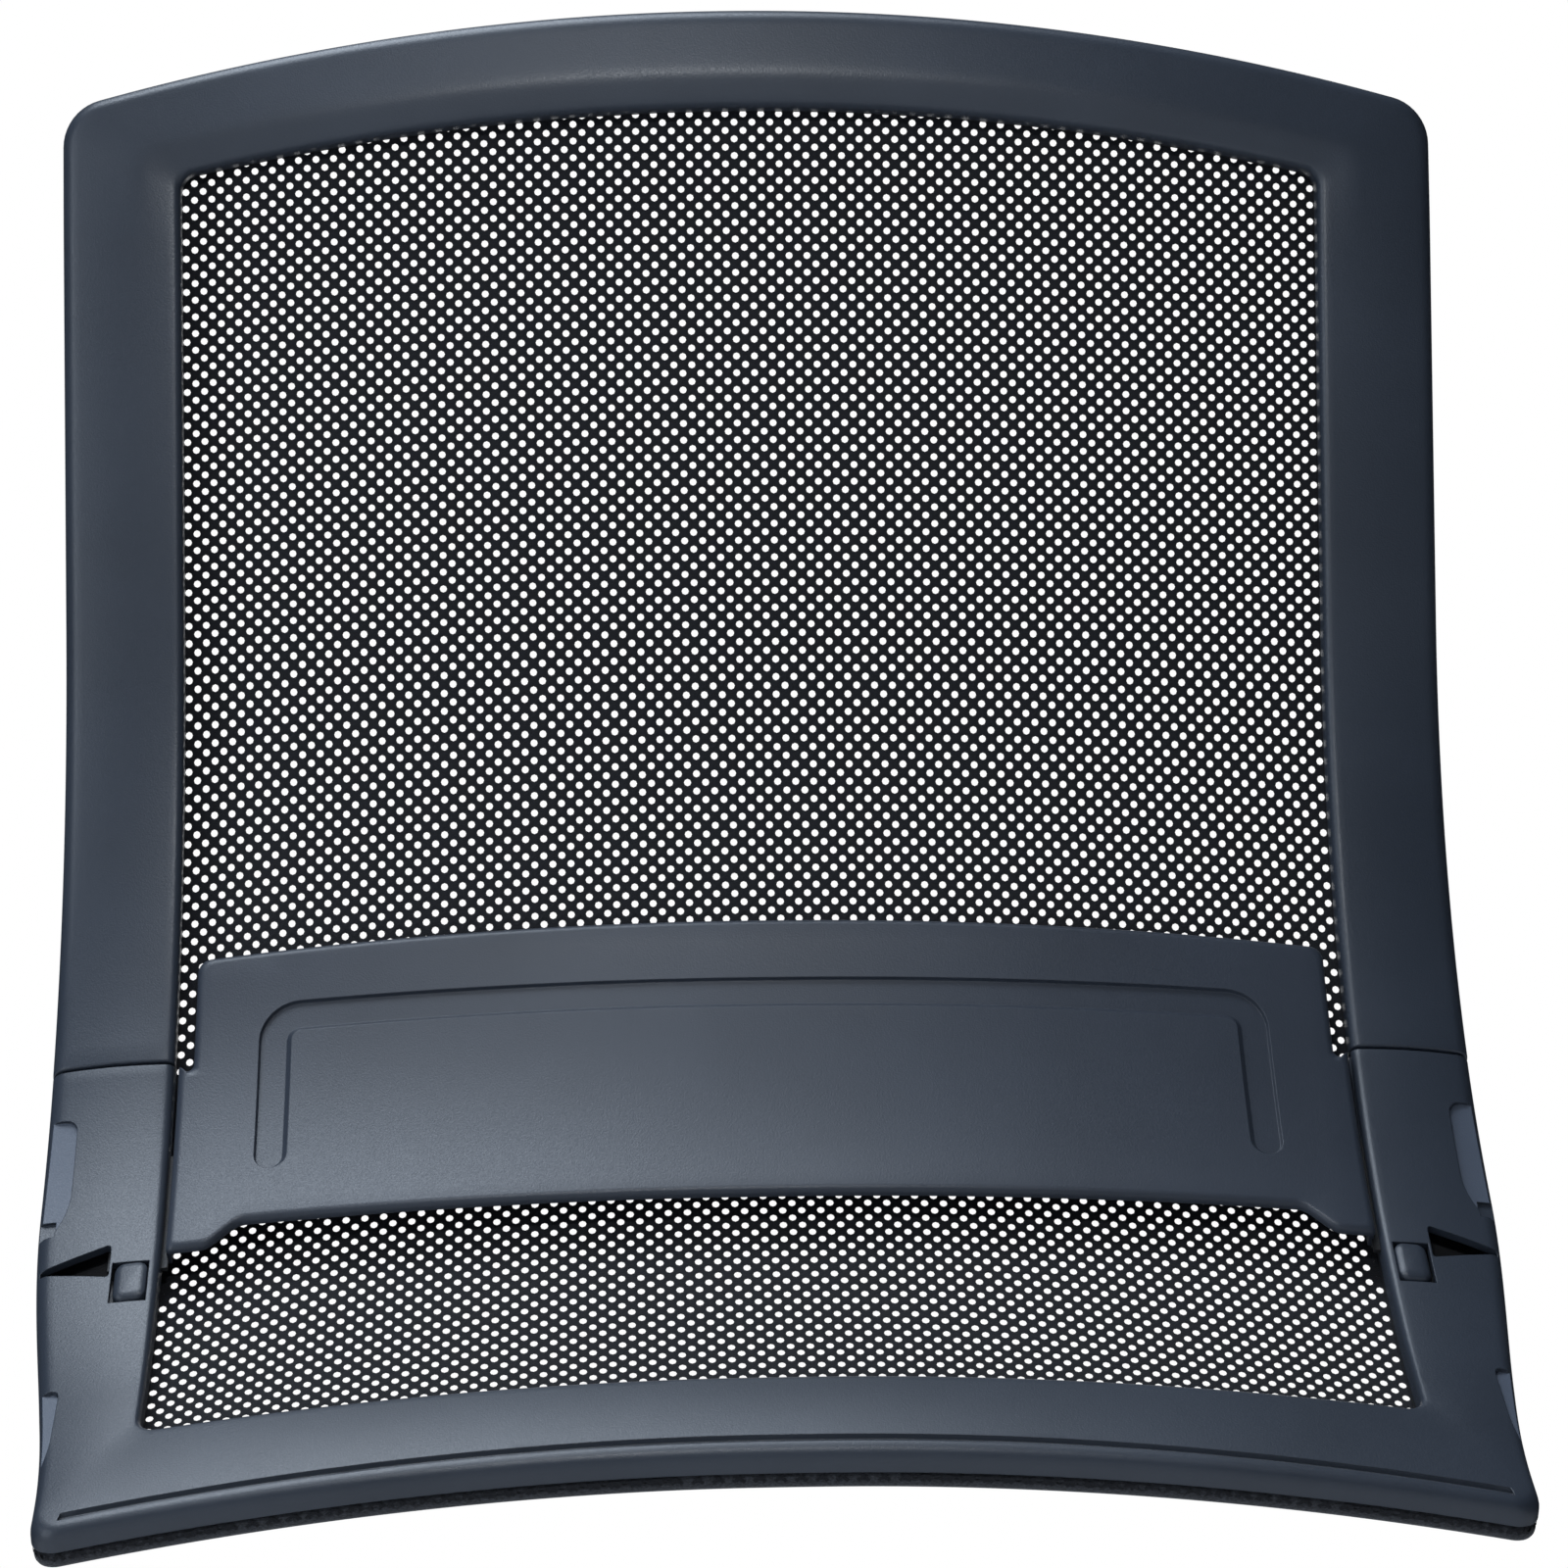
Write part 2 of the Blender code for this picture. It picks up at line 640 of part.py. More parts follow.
def carrier(parent, plastic):
    flange = whole_outer(CARRIER_INSET)
    core = whole_outer(CARRIER_INSET + REBATE_WIDTH)
    step = CARRIER_BACK + REBATE_DEPTH
    body = lofted([(core, CARRIER_BACK), (core, step), (flange, step), (flange, CARRIER_FRONT)])
    opening = whole_opening(CARRIER_OPEN_INSET)
    cuts = [prism(opening, CARRIER_BACK - OVERCUT, CARRIER_FRONT + OVERCUT)]
    seat = CARRIER_FRONT - HEAD_HEIGHT - HEAD_CLEARANCE
    for x, s in all_screw_places():
        profile = [
            (SCREW_HOLE, CARRIER_BACK - OVERCUT),
            (SCREW_HOLE, seat),
            (HEAD_RADIUS + FIT, seat),
            (HEAD_RADIUS + FIT, CARRIER_FRONT + OVERCUT),
        ]
        for side in (x, -x):
            cuts.append(turned(side, s, profile))
    return node("front_carrier", cut(body, cuts), plastic, parent)


def guide_screw_places():
    """(x, s) of the screws that hold the slide's rail and its end stop, on the right half."""
    rail = ((RAIL_INNER + RAIL_OUTER) / 2, RAIL_TOP + RAIL_HEAD / 2)
    stop = (STOP_INNER + STOP_WIDTH / 2, STOP_TOP + STOP_HEIGHT / 2)
    return [rail, stop]


def all_screw_places():
    return frame_screw_places(False) + frame_screw_places(True) + guide_screw_places()


def screws(parent, steel):
    seat = CARRIER_FRONT - HEAD_HEIGHT - HEAD_CLEARANCE + FIT
    groups = (
        ("upper_shell_screw", frame_screw_places(False), WALL),
        ("lower_shell_screw", frame_screw_places(True), LOWER_FLOOR),
        ("guide_screw", guide_screw_places(), LOWER_FLOOR + GUIDE_SCREW_FLOOR),
    )
    for name, places, floor in groups:
        for number, (x, s) in enumerate(places, 1):
            profile = [
                (SCREW_RADIUS, floor + FIT),
                (SCREW_RADIUS, seat),
                (HEAD_RADIUS, seat),
                (HEAD_RADIUS * 0.8, seat + HEAD_HEIGHT),
            ]
            body = turned(x, s, profile)
            drive = disc(x, s, HEAD_RADIUS * 0.35, seat + HEAD_HEIGHT * 0.45, seat + HEAD_HEIGHT + OVERCUT, 6)
            pair(f"{name}_{number}", cut(body, [drive]), steel, parent, small=True)


def mesh_panel(parent, fabric):
    skirt_back = CARRIER_BACK + FIT
    outside = CARRIER_INSET - FIT - MESH_THICKNESS
    outline = whole_outer(outside)
    soft = whole_outer(outside + MESH_EDGE)
    body = lofted([(outline, skirt_back), (outline, MESH_FRONT - MESH_EDGE), (soft, MESH_FRONT)])
    inside = whole_outer(CARRIER_INSET - FIT)
    body = cut(body, [prism(inside, skirt_back - OVERCUT, MESH_BACK)])
    return node("mesh_panel", body, fabric, parent)


def edge_strips(parent, plastic):
    """The strips sewn to the mesh's edges, pressed into the carrier's rebate."""
    near = CARRIER_INSET + FIT
    far = CARRIER_INSET + REBATE_WIDTH - FIT
    back = CARRIER_BACK + FIT
    front = back + STRIP_THICKNESS
    for name, edge in (("top", outer_top), ("bottom", outer_bottom)):
        outside = edge(near)[:CROWN_STEPS]
        inside = edge(far)[:CROWN_STEPS]
        outline = mirrored(outside)[:-1] + outside + inside[::-1] + mirrored(inside[::-1])[1:]
        node(f"mesh_strip_{name}", prism(outline, back, front), plastic, parent)
    outside = outer_side(near, STRIP_TOP)[:SIDE_STEPS]
    inside = outer_side(far, STRIP_TOP)[:SIDE_STEPS]
    pair("mesh_strip", prism(outside + inside[::-1], back, front), plastic, parent)


def lumbar_panel(parent, plastic):
    levels = []
    for i in range(EDGE_STEPS + 1):
        turn = math.pi / 2 * i / EDGE_STEPS
        inset = PANEL_EDGE * (1 - math.sin(turn))
        levels.append((panel_outline(inset), PANEL_BACK + PANEL_EDGE * (1 - math.cos(turn))))
    levels.append((panel_outline(0), PANEL_FRONT))
    body = lofted(levels)
    reach = OPEN_HALF - RIB_SIDE
    back = PANEL_FRONT - OVERCUT / 2
    front = PANEL_FRONT + RIB_HEIGHT
    ribs = [box(-reach, reach, s, s + RIB_WIDTH, back, front) for s in (RIB_TOP, RIB_BOTTOM - RIB_WIDTH)]
    count = int((reach - RIB_WIDTH) / RIB_PITCH)
    for i in range(-count, count + 1):
        side = i * RIB_PITCH - RIB_WIDTH / 2
        inner = (RIB_TOP + RIB_WIDTH / 2, RIB_BOTTOM - RIB_WIDTH / 2)
        ribs.append(box(side, side + RIB_WIDTH, *inner, back, front - OVERCUT / 2))
    for s in SLIDER_SCREWS:
        ribs += both(disc(SLIDER_SCREW_X, s, SPIGOT_RADIUS, back, PANEL_FRONT + SPIGOT_HEIGHT))
    body = join(body, ribs)
    cuts = [prism(u_outline(), PANEL_BACK - OVERCUT, PANEL_BACK + U_DEPTH)]
    for s in SLIDER_SCREWS:
        floor = PANEL_FRONT - 0.8 * MM
        top = PANEL_FRONT + SPIGOT_HEIGHT + OVERCUT
        cuts += both(disc(SLIDER_SCREW_X, s, SLIDER_SCREW_HOLE, floor, top, HOLE_SIDES))
    return node("lumbar_panel", cut(body, cuts), plastic, parent)


def sliders(parent, slick, steel):
    back = PANEL_FRONT + FIT
    body = box(BLOCK_OUTER - BLOCK_WIDTH, BLOCK_OUTER, BLOCK_TOP, BLOCK_BOTTOM, back, BLOCK_FRONT)
    tongue = box(BLOCK_OUTER - 2 * MM, TONGUE_END, TONGUE_TOP, BLOCK_BOTTOM, TONGUE_BACK, TONGUE_FRONT)
    toe_side = BLOCK_OUTER + 0.5 * MM
    toe = box(toe_side, TONGUE_END, BLOCK_BOTTOM - 2 * MM, TONGUE_BOTTOM, TONGUE_BACK, TONGUE_FRONT)
    body = join(body, [tongue, toe])
    seat = BLOCK_FRONT - SLIDER_HEAD_DEPTH
    spigot_front = PANEL_FRONT + SPIGOT_HEIGHT + FIT
    cuts = []
    for s in SLIDER_SCREWS:
        profile = [
            (SPIGOT_RADIUS + FIT, back - OVERCUT),
            (SPIGOT_RADIUS + FIT, spigot_front),
            (SLIDER_SCREW_HOLE, spigot_front),
            (SLIDER_SCREW_HOLE, seat),
            (SLIDER_HEAD_RADIUS + FIT, seat),
            (SLIDER_HEAD_RADIUS + FIT, BLOCK_FRONT + OVERCUT),
        ]
        cuts.append(turned(SLIDER_SCREW_X, s, profile))
    pair("lumbar_slider", cut(body, cuts), slick, parent)
    head = seat + FIT
    for number, s in enumerate(SLIDER_SCREWS, 1):
        profile = [
            (SLIDER_SCREW_RADIUS, PANEL_FRONT - 0.4 * MM),
            (SLIDER_SCREW_RADIUS, head),
            (SLIDER_HEAD_RADIUS, head),
            (SLIDER_HEAD_RADIUS * 0.8, head + SLIDER_HEAD_HEIGHT),
        ]
        body = turned(SLIDER_SCREW_X, s, profile)
        drive = disc(SLIDER_SCREW_X, s, SLIDER_HEAD_RADIUS * 0.37, head + 0.6 * MM, BLOCK_FRONT + OVERCUT, 6)
        pair(f"slider_screw_{number}", cut(body, [drive]), steel, parent, small=True)


def rails(parent, slick):
    body = box(RAIL_INNER, RAIL_OUTER, RAIL_TOP, TONGUE_BOTTOM, RAIL_BACK, SHELL_DEPTH)
    low = TONGUE_BACK - SLIDE_GAP
    high = TONGUE_FRONT + SLIDE_GAP
    top = RAIL_TOP + RAIL_HEAD - 1 * MM
    cuts = [box(RAIL_INNER - OVERCUT, WEB_FACE, top, TONGUE_BOTTOM + OVERCUT, low, high)]
    nose = (TONGUE_TOP + TONGUE_BOTTOM) / 2
    for i in range(NOTCHES):
        where = nose - TRAVEL * i / (NOTCHES - 1)
        cuts.append(disc(WEB_FACE - 0.6 * MM, where, NOTCH_RADIUS, low, high))
    x, s = guide_screw_places()[0]
    cuts.append(disc(x, s, SCREW_HOLE, LOWER_FLOOR + GUIDE_SCREW_FLOOR, SHELL_DEPTH + OVERCUT, HOLE_SIDES))
    pair("lumbar_rail", cut(body, cuts), slick, parent)


def end_stops(parent, plastic):
    x0 = STOP_INNER
    x1 = STOP_INNER + STOP_WIDTH
    s1 = STOP_TOP + STOP_HEIGHT
    wide = [(x0, STOP_TOP), (x1, STOP_TOP), (x1, s1), (x0, s1)]
    slim = [
        (x0 + STOP_CHAMFER, STOP_TOP + STOP_CHAMFER),
        (x1 - STOP_CHAMFER, STOP_TOP + STOP_CHAMFER),
        (x1 - STOP_CHAMFER, s1 - STOP_CHAMFER),
        (x0 + STOP_CHAMFER, s1 - STOP_CHAMFER),
    ]
    body = lofted([(slim, STOP_BACK), (wide, STOP_BACK + STOP_CHAMFER), (wide, SHELL_DEPTH)])
    x, s = guide_screw_places()[1]
    hole = disc(x, s, SCREW_HOLE, LOWER_FLOOR + GUIDE_SCREW_FLOOR, SHELL_DEPTH + OVERCUT, HOLE_SIDES)
    pair("slide_end_stop", cut(body, [hole]), plastic, parent)


def detents(parent, steel):
    """A bowed leaf on each tongue's end, whose nose stands before the rail's notches."""
    middle = (TONGUE_TOP + TONGUE_BOTTOM) / 2
    foot = TONGUE_END + FIT
    outside = []
    inside = []
    for i in range(LEAF_STEPS + 1):
        t = i / LEAF_STEPS * 2 - 1
        bow = LEAF_BOW * (1 - t * t) ** 2
        s = middle + t * LEAF_LENGTH / 2
        outside.append((foot + LEAF + bow, s))
        inside.append((foot + bow * 0.9, s))
    leaf = prism(inside + outside[::-1], TONGUE_BACK + FIT / 2, TONGUE_FRONT - FIT / 2)
    pair("detent_spring", leaf, steel, parent)


def main():
    for item in list(bpy.data.objects):
        bpy.data.objects.remove(item)
    frame = bpy.data.objects.new("frame_body", None)
    lumbar = bpy.data.objects.new("lumbar_slide_axis", None)
    for empty in (frame, lumbar):
        bpy.context.collection.objects.link(empty)
    lumbar.location = (0, *slide_axis())
    lumbar.parent = frame
    bpy.context.view_layer.update()

    plastic = material("frame_plastic", (0.045, 0.055, 0.075), 0.42)
    panel_plastic = material("panel_plastic", (0.045, 0.055, 0.075), 0.45)
    core_plastic = material("core_plastic", (0.02, 0.02, 0.022), 0.55)
    slick = material("slide_plastic", (0.03, 0.03, 0.033), 0.35)
    fabric = material("mesh_fabric", (0.008, 0.008, 0.01), 0.9)
    steel = material("screw_steel", (0.35, 0.35, 0.36), 0.35, 1.0)

    upper_shell(frame, plastic)
    lower_shell(frame, plastic)
    carrier(frame, core_plastic)
    mesh_panel(frame, fabric)
    edge_strips(frame, core_plastic)
    screws(frame, steel)
    rails(frame, slick)
    end_stops(frame, plastic)
    lumbar_panel(lumbar, panel_plastic)
    sliders(lumbar, slick, steel)
    detents(lumbar, steel)


main()
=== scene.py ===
"""The looks of the mesh backrest: fine rear shells, a lumbar panel, and knitted mesh with real holes.

Pieces are shaped flat, in the sheet frame that the design uses, and bend() lays them on the curved back. In
that frame x goes across, s down along the surface from the top of the opening, and n from the rear skin
towards the sitter.
"""

import math

import bmesh
import bpy
import numpy as np
from mathutils import Matrix, Vector

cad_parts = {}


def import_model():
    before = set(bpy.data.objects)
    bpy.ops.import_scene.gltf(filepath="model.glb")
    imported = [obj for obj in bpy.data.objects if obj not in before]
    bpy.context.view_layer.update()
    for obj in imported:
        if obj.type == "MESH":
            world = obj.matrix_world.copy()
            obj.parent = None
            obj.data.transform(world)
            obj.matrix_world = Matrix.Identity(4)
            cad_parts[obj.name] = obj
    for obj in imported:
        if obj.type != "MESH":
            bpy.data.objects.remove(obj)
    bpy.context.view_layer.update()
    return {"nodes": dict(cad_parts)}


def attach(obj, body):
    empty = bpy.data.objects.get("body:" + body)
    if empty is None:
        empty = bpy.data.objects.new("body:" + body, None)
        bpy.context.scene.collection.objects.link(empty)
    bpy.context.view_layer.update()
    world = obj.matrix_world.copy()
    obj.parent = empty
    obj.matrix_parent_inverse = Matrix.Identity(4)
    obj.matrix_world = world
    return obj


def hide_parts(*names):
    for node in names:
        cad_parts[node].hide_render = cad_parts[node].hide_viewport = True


MM = 0.001

# The curve of the back, as in the design
UPPER_LEAN = math.radians(20)
TURN = math.radians(60)
ARC_START = 170 * MM
ARC_RADIUS = 258 * MM
DISH_RADIUS = 1350 * MM
FLAT_HALF = 25 * MM
ARC_LENGTH = ARC_RADIUS * TURN
ARC_END = ARC_START + ARC_LENGTH

# The frame's outline, as in the design
OPEN_HALF = 191 * MM
OUTER_HALF = OPEN_HALF + 40 * MM
FOOT_NARROWING = 12 * MM
TOP_RAIL_HEIGHT = 33 * MM
TOP_CROWN_RADIUS = 910 * MM
OPEN_TOP = -3 * MM
OPEN_BOTTOM = 453 * MM
OPEN_BOTTOM_CROWN_RADIUS = 4500 * MM
BOTTOM_RAIL_HEIGHT = 38 * MM
BOTTOM_CROWN_RADIUS = 2220 * MM
OUTER_CORNER = 16 * MM
FOOT_CORNER = 8 * MM
OPEN_CORNER = 6 * MM
SEAM = 310 * MM
SEAM_GAP = 0.5 * MM
NARROWING_START = SEAM + 50 * MM
NARROWING_LENGTH = OPEN_BOTTOM + 32 * MM - NARROWING_START
SEAT = OPEN_BOTTOM + BOTTOM_RAIL_HEIGHT / 2

# Depths
WALL = 3 * MM
SHELL_FRONT = 8.6 * MM
LOWER_STEP = 0.8 * MM
MESH_LEVEL = 13.3 * MM  # the middle of the cloth
MESH_INSET = 0.6 * MM  # of the cloth's turned-back edge, from the shells' outline
FOOT_PROUD = 0.9 * MM  # how far the cloth's edge stands below the bottom rail
MESH_EDGE_RADIUS = 2.4 * MM
MESH_EDGE_BACK = 9.15 * MM

# The shells' own roundings
TOP_CROWN = 3.4 * MM  # how far the top bar's middle stands behind its edges
STILE_CROWN = 1.5 * MM
FOOT_CROWN = 0.9 * MM
TOP_BULGE = 1.2 * MM
CREST = 0.67  # where the top bar's crest runs, as a share of its height
CREST_SOFT = 0.06
CREST_RISE = 2.1
CREST_LEAN = 0.45
STILE_BULGE = 0.5 * MM
OUTER_ROUND = 4.6 * MM
END_ROUND = 0.7 * MM  # of the shells' ends at the seam
INNER_ROUND = 2.9 * MM

# The sockets in the lower shell: (top, bottom, width from the outer edge)
UPPER_POCKET = (SEAM + 17.5 * MM, SEAM + 59.5 * MM, 10 * MM)
LOWER_POCKET = (OPEN_BOTTOM - 19.5 * MM, OPEN_BOTTOM + 18 * MM, 6.5 * MM)
POCKET_DEPTH = 1.5 * MM
WEDGE_HEIGHT = 6.5 * MM
WEDGE_DEPTH = 1.2 * MM
WEDGE_WIDTH = 5.5 * MM
HOOK_INSET = 24.5 * MM
HOOK_TOP = UPPER_POCKET[1] + 5.5 * MM
HOOK_HEIGHT = 13 * MM
HOOK_TIP_INSET = 1.6 * MM
GROOVE_INSET = 5.6 * MM
GROOVE_WIDTH = 1.6 * MM
GROOVE_DEPTH = 1.3 * MM
GROOVE_SLOPE = 0.7 * MM

# The lumbar panel
PANEL_TOP = 269.5 * MM
PANEL_BOTTOM = PANEL_TOP + 102.5 * MM
PANEL_TOP_CROWN_RADIUS = 2500 * MM
PANEL_SIDE_SLOT = 6.5 * MM
PANEL_CORNER = 4.5 * MM
PANEL_BACK = -1 * MM
PANEL_FRONT = 2 * MM
PANEL_EDGE = 2.6 * MM
EAR_TOP = PANEL_TOP + 44.5 * MM
EAR_BOTTOM = PANEL_BOTTOM + 8.5 * MM
EAR_GAP = 1.5 * MM
EAR_WIDTH = 12 * MM
EAR_SLOPE = 11 * MM
U_HALF = OPEN_HALF - 28 * MM
U_TOP = PANEL_TOP + 21.5 * MM
U_BOTTOM = PANEL_BOTTOM - 20 * MM
U_WIDTH = 8.4 * MM
U_CORNER = 13 * MM
U_DEPTH = 1.5 * MM
BLOCK_TOP = PANEL_TOP + 66.5 * MM  # the slider blocks' ends, on the panel's ears
BLOCK_BOTTOM = BLOCK_TOP + 35 * MM
RIB_HEIGHT = 5 * MM
RIB_WIDTH = 2 * MM
RIB_PITCH = 60 * MM
RIB_SIDE = 25 * MM
RIB_TOP = PANEL_TOP + 10 * MM
RIB_BOTTOM = PANEL_BOTTOM - 5 * MM

# The slide's end stops and the slots its tongues run in
STOP_INNER = OPEN_HALF + WALL + 0.3 * MM
STOP_TOP = PANEL_BOTTOM + 11 * MM
STOP_HEIGHT = 15 * MM
STOP_WIDTH = 10.5 * MM
STOP_BACK = LOWER_STEP - 1.1 * MM
TONGUE_SLOT = (PANEL_BOTTOM - 62 * MM, STOP_TOP, 4.7 * MM, 7.7 * MM)

# The knitted mesh
HOLE_PITCH_X = 6.0 * MM
HOLE_PITCH_S = 5.62 * MM
HOLE_RADIUS = 1.2 * MM
CLOSED_RADIUS = 0.03 * MM  # of the holes that a guessed line of glue closes beside the panel's ears
GLUED_FROM = OPEN_HALF - 1.8 * MM
ROW_BOW = 3.5 * MM  # how much lower a row lies at BOW_HALF than in the middle
BOW_HALF = 180 * MM
SIDE_SHRINK = 0.008
STRAND_RELIEF = 0.16 * MM
CLOTH_SPLIT = 262 * MM  # where the cloth's two mesh pieces join
BEYOND_TOP, BEYOND_FOOT = -100 * MM, 600 * MM  # past every row of holes
HALF_COLUMNS = 84  # the lattice's reach, in half pitches
ROWS_ABOVE, ROWS_BELOW = 26, 186
HEM_WIDTH = 7 * MM
HEM_BULGE = 2.2 * MM
HEM_PROUD = 1.4 * MM
HEM_THICKNESS = 0.7 * MM

# Facets
CROWN_STEPS = 40
CORNER_STEPS = 10
SIDE_STEPS = 46
ROUND_STEPS = 6
SKIN_STEPS = 18
FINE_X = 12 * MM
FINE_S = 8 * MM
OVERCUT = 1 * MM
SHARP = math.radians(32)

# The camera and the studio
CAMERA_PLACE = (-0.0537, -1.1951, -0.2750)
CAMERA_YAW, CAMERA_PITCH, CAMERA_ROLL = math.radians(2.56), math.radians(21.55), math.radians(-1.58)
CAMERA_LENS = 95.44
SENSOR_WIDTH = 36
FLOOR_LEVEL = -0.55
FLOOR_REACH = 60
ROOM_COLOUR = (0.8, 0.88, 1.0, 1)
ROOM_STRENGTH = 0.025
MIDDLE = (0, 0.05, 0.22)
TOP_BAR_LEVEL = 0.46
DAYLIGHT = (0.80, 0.89, 1.0)


# --- the curved back ----------------


def bend(points):
    """World places, in metres, of flat points (x, s, n)."""
    x, s, n = np.asarray(points, float).reshape(-1, 3).T
    angle = UPPER_LEAN - np.clip((s - ARC_START) / ARC_LENGTH, 0, 1) * TURN
    above = np.minimum(s - ARC_START, 0)
    below = np.maximum(s - ARC_END, 0)
    arc_y = ARC_RADIUS * (np.cos(angle) - math.cos(UPPER_LEAN))
    arc_z = ARC_RADIUS * (math.sin(UPPER_LEAN) - np.sin(angle))
    y = above * math.sin(UPPER_LEAN) + arc_y + below * np.sin(angle)
    z = -above * math.cos(UPPER_LEAN) - arc_z - below * np.cos(angle)
    depth = n + x**4 / (x**2 + FLAT_HALF**2) / (2 * DISH_RADIUS)
    return np.stack([x, y + depth * np.cos(angle), z + depth * np.sin(angle)], axis=1) - ORIGIN


ORIGIN = np.zeros(3)
ORIGIN = bend([(1e-9, SEAT, LOWER_STEP)])[0]


# --- outlines in (x, s) ----------------


def smooth(t):
    t = min(max(t, 0), 1)
    return t * t * (3 - 2 * t)


def half_edge(half, edge, crown, radius, steps=CROWN_STEPS, corner=CORNER_STEPS):
    """A crowned edge from the middle to a side at x = half, ending in its rounded corner."""
    angle = math.atan(half / crown)
    for _ in range(4):
        tangent = half - radius + radius * math.sin(angle)
        angle = math.atan(tangent / crown)
    across = [tangent * i / steps for i in range(steps + 1)]
    points = [(x, edge + x * x / (2 * crown)) for x in across]
    middle = (half - radius, points[-1][1] + radius * math.cos(angle))
    for i in range(1, corner + 1):
        turn = (angle - math.pi / 2) * (1 - i / corner)
        points.append((middle[0] + radius * math.cos(turn), middle[1] + radius * math.sin(turn)))
    return points


def upside_down(points):
    return [(x, -s) for x, s in points]


def mirrored(points):
    return [(-x, s) for x, s in reversed(points)]


def outer_top(inset=0.0):
    edge = OPEN_TOP - TOP_RAIL_HEIGHT + inset
    return half_edge(OUTER_HALF - inset, edge, TOP_CROWN_RADIUS, OUTER_CORNER - inset)


def open_top(inset=0.0):
    return half_edge(OPEN_HALF + inset, OPEN_TOP - inset, TOP_CROWN_RADIUS, OPEN_CORNER + inset)


def open_bottom(inset=0.0):
    edge = half_edge(OPEN_HALF + inset, -OPEN_BOTTOM - inset, -OPEN_BOTTOM_CROWN_RADIUS, OPEN_CORNER + inset)
    return upside_down(edge)


def outer_bottom(inset=0.0):
    half = OUTER_HALF - FOOT_NARROWING - inset
    edge = -(OPEN_BOTTOM + BOTTOM_RAIL_HEIGHT) + inset
    return upside_down(half_edge(half, edge, -BOTTOM_CROWN_RADIUS, max(FOOT_CORNER - inset, MM)))


def outer_half_at(s):
    return OUTER_HALF - FOOT_NARROWING * smooth((s - NARROWING_START) / NARROWING_LENGTH)


def outer_side(top, bottom, inset=0.0):
    places = np.linspace(top, bottom, SIDE_STEPS + 1)[1:-1]
    return [(outer_half_at(s) - inset, s) for s in places]


def open_side(top, bottom, inset=0.0):
    return [(OPEN_HALF + inset, s) for s in np.linspace(top, bottom, SIDE_STEPS + 1)[1:-1]]


def whole_outer(inset):
    top = outer_top(inset)
    foot = outer_bottom(inset)[::-1]
    right = top + outer_side(top[-1][1], foot[0][1], inset) + foot
    return np.array(right + mirrored(right)[1:-1])


# --- solids in (x, s, n) ----------------


def mesh_from(points, faces, name="part"):
    mesh = bpy.data.meshes.new(name)
    mesh.from_pydata([tuple(p) for p in points], [], faces)
    bm = bmesh.new()
    bm.from_mesh(mesh)
    bmesh.ops.remove_doubles(bm, verts=bm.verts, dist=1e-7)
    bmesh.ops.recalc_face_normals(bm, faces=bm.faces)
    bm.to_mesh(mesh)
    bm.free()
    return mesh


def lofted(rings, closed=False):
    """A skin through rings of (x, s, n) points, capped at its two ends unless it closes on itself."""
    count = len(rings[0])
    points = [p for ring in rings for p in ring]
    faces = []
    last = len(rings) if closed else len(rings) - 1
    for i in range(last):
        a = i * count
        b = (i + 1) % len(rings) * count
        faces += [(a + j, a + (j + 1) % count, b + (j + 1) % count, b + j) for j in range(count)]
    if not closed:
        faces += [tuple(range(count)), tuple(range(len(points) - count, len(points)))]
    return mesh_from(points, faces)


def prism(outline, n0, n1, flare=0.0):
    """An outline through n0 to n1. flare widens it at n0, for a cutter with a sloped mouth."""
    levels = [(outline, n1), (outline, n0)]
    if flare:
        mouth = n0 + (n1 - n0) * 0.62
        levels = [(outline, n1), (outline, mouth), (grown(outline, flare), n0)]
    return lofted([[(x, s, n) for x, s in points] for points, n in levels])


def grown(outline, by):
    """The outline with each point moved out by that much along its corner's normal."""
    points = np.array(outline)
    ahead = np.roll(points, -1, 0) - points
    ahead /= np.linalg.norm(ahead, axis=1)[:, None]
    normal = np.stack([ahead[:, 1], -ahead[:, 0]], axis=1)
    both_sides = normal + np.roll(normal, 1, 0)
    both_sides /= np.maximum(np.linalg.norm(both_sides, axis=1)[:, None], 0.3)
    turning = np.sum(points[:, 0] * np.roll(points[:, 1], -1) - np.roll(points[:, 0], -1) * points[:, 1])
    return points + both_sides * (by if turning > 0 else -by)


def box(x0, x1, s0, s1, n0, n1):
    return prism([(x0, s0), (x1, s0), (x1, s1), (x0, s1)], n0, n1)


def flipped(mesh):
    bm = bmesh.new()
    bm.from_mesh(mesh)
    for vertex in bm.verts:
        vertex.co.x = -vertex.co.x
    bmesh.ops.reverse_faces(bm, faces=bm.faces)
    made = bpy.data.meshes.new("flip")
    bm.to_mesh(made)
    bm.free()
    return made


def both(mesh):
    return [mesh, flipped(mesh)]


def boolean(mesh, tools, operation):
    base = bpy.data.objects.new("base", mesh)
    bpy.context.collection.objects.link(base)
    helpers = [base]
    for tool in tools:
        helper = bpy.data.objects.new("tool", tool)
        bpy.context.collection.objects.link(helper)
        modifier = base.modifiers.new("boolean", "BOOLEAN")
        modifier.operation = operation
        modifier.object = helper
        helpers.append(helper)
    bpy.context.view_layer.update()
    result = bpy.data.meshes.new_from_object(base.evaluated_get(bpy.context.evaluated_depsgraph_get()))
    for helper in helpers:
        bpy.data.objects.remove(helper)
    return result


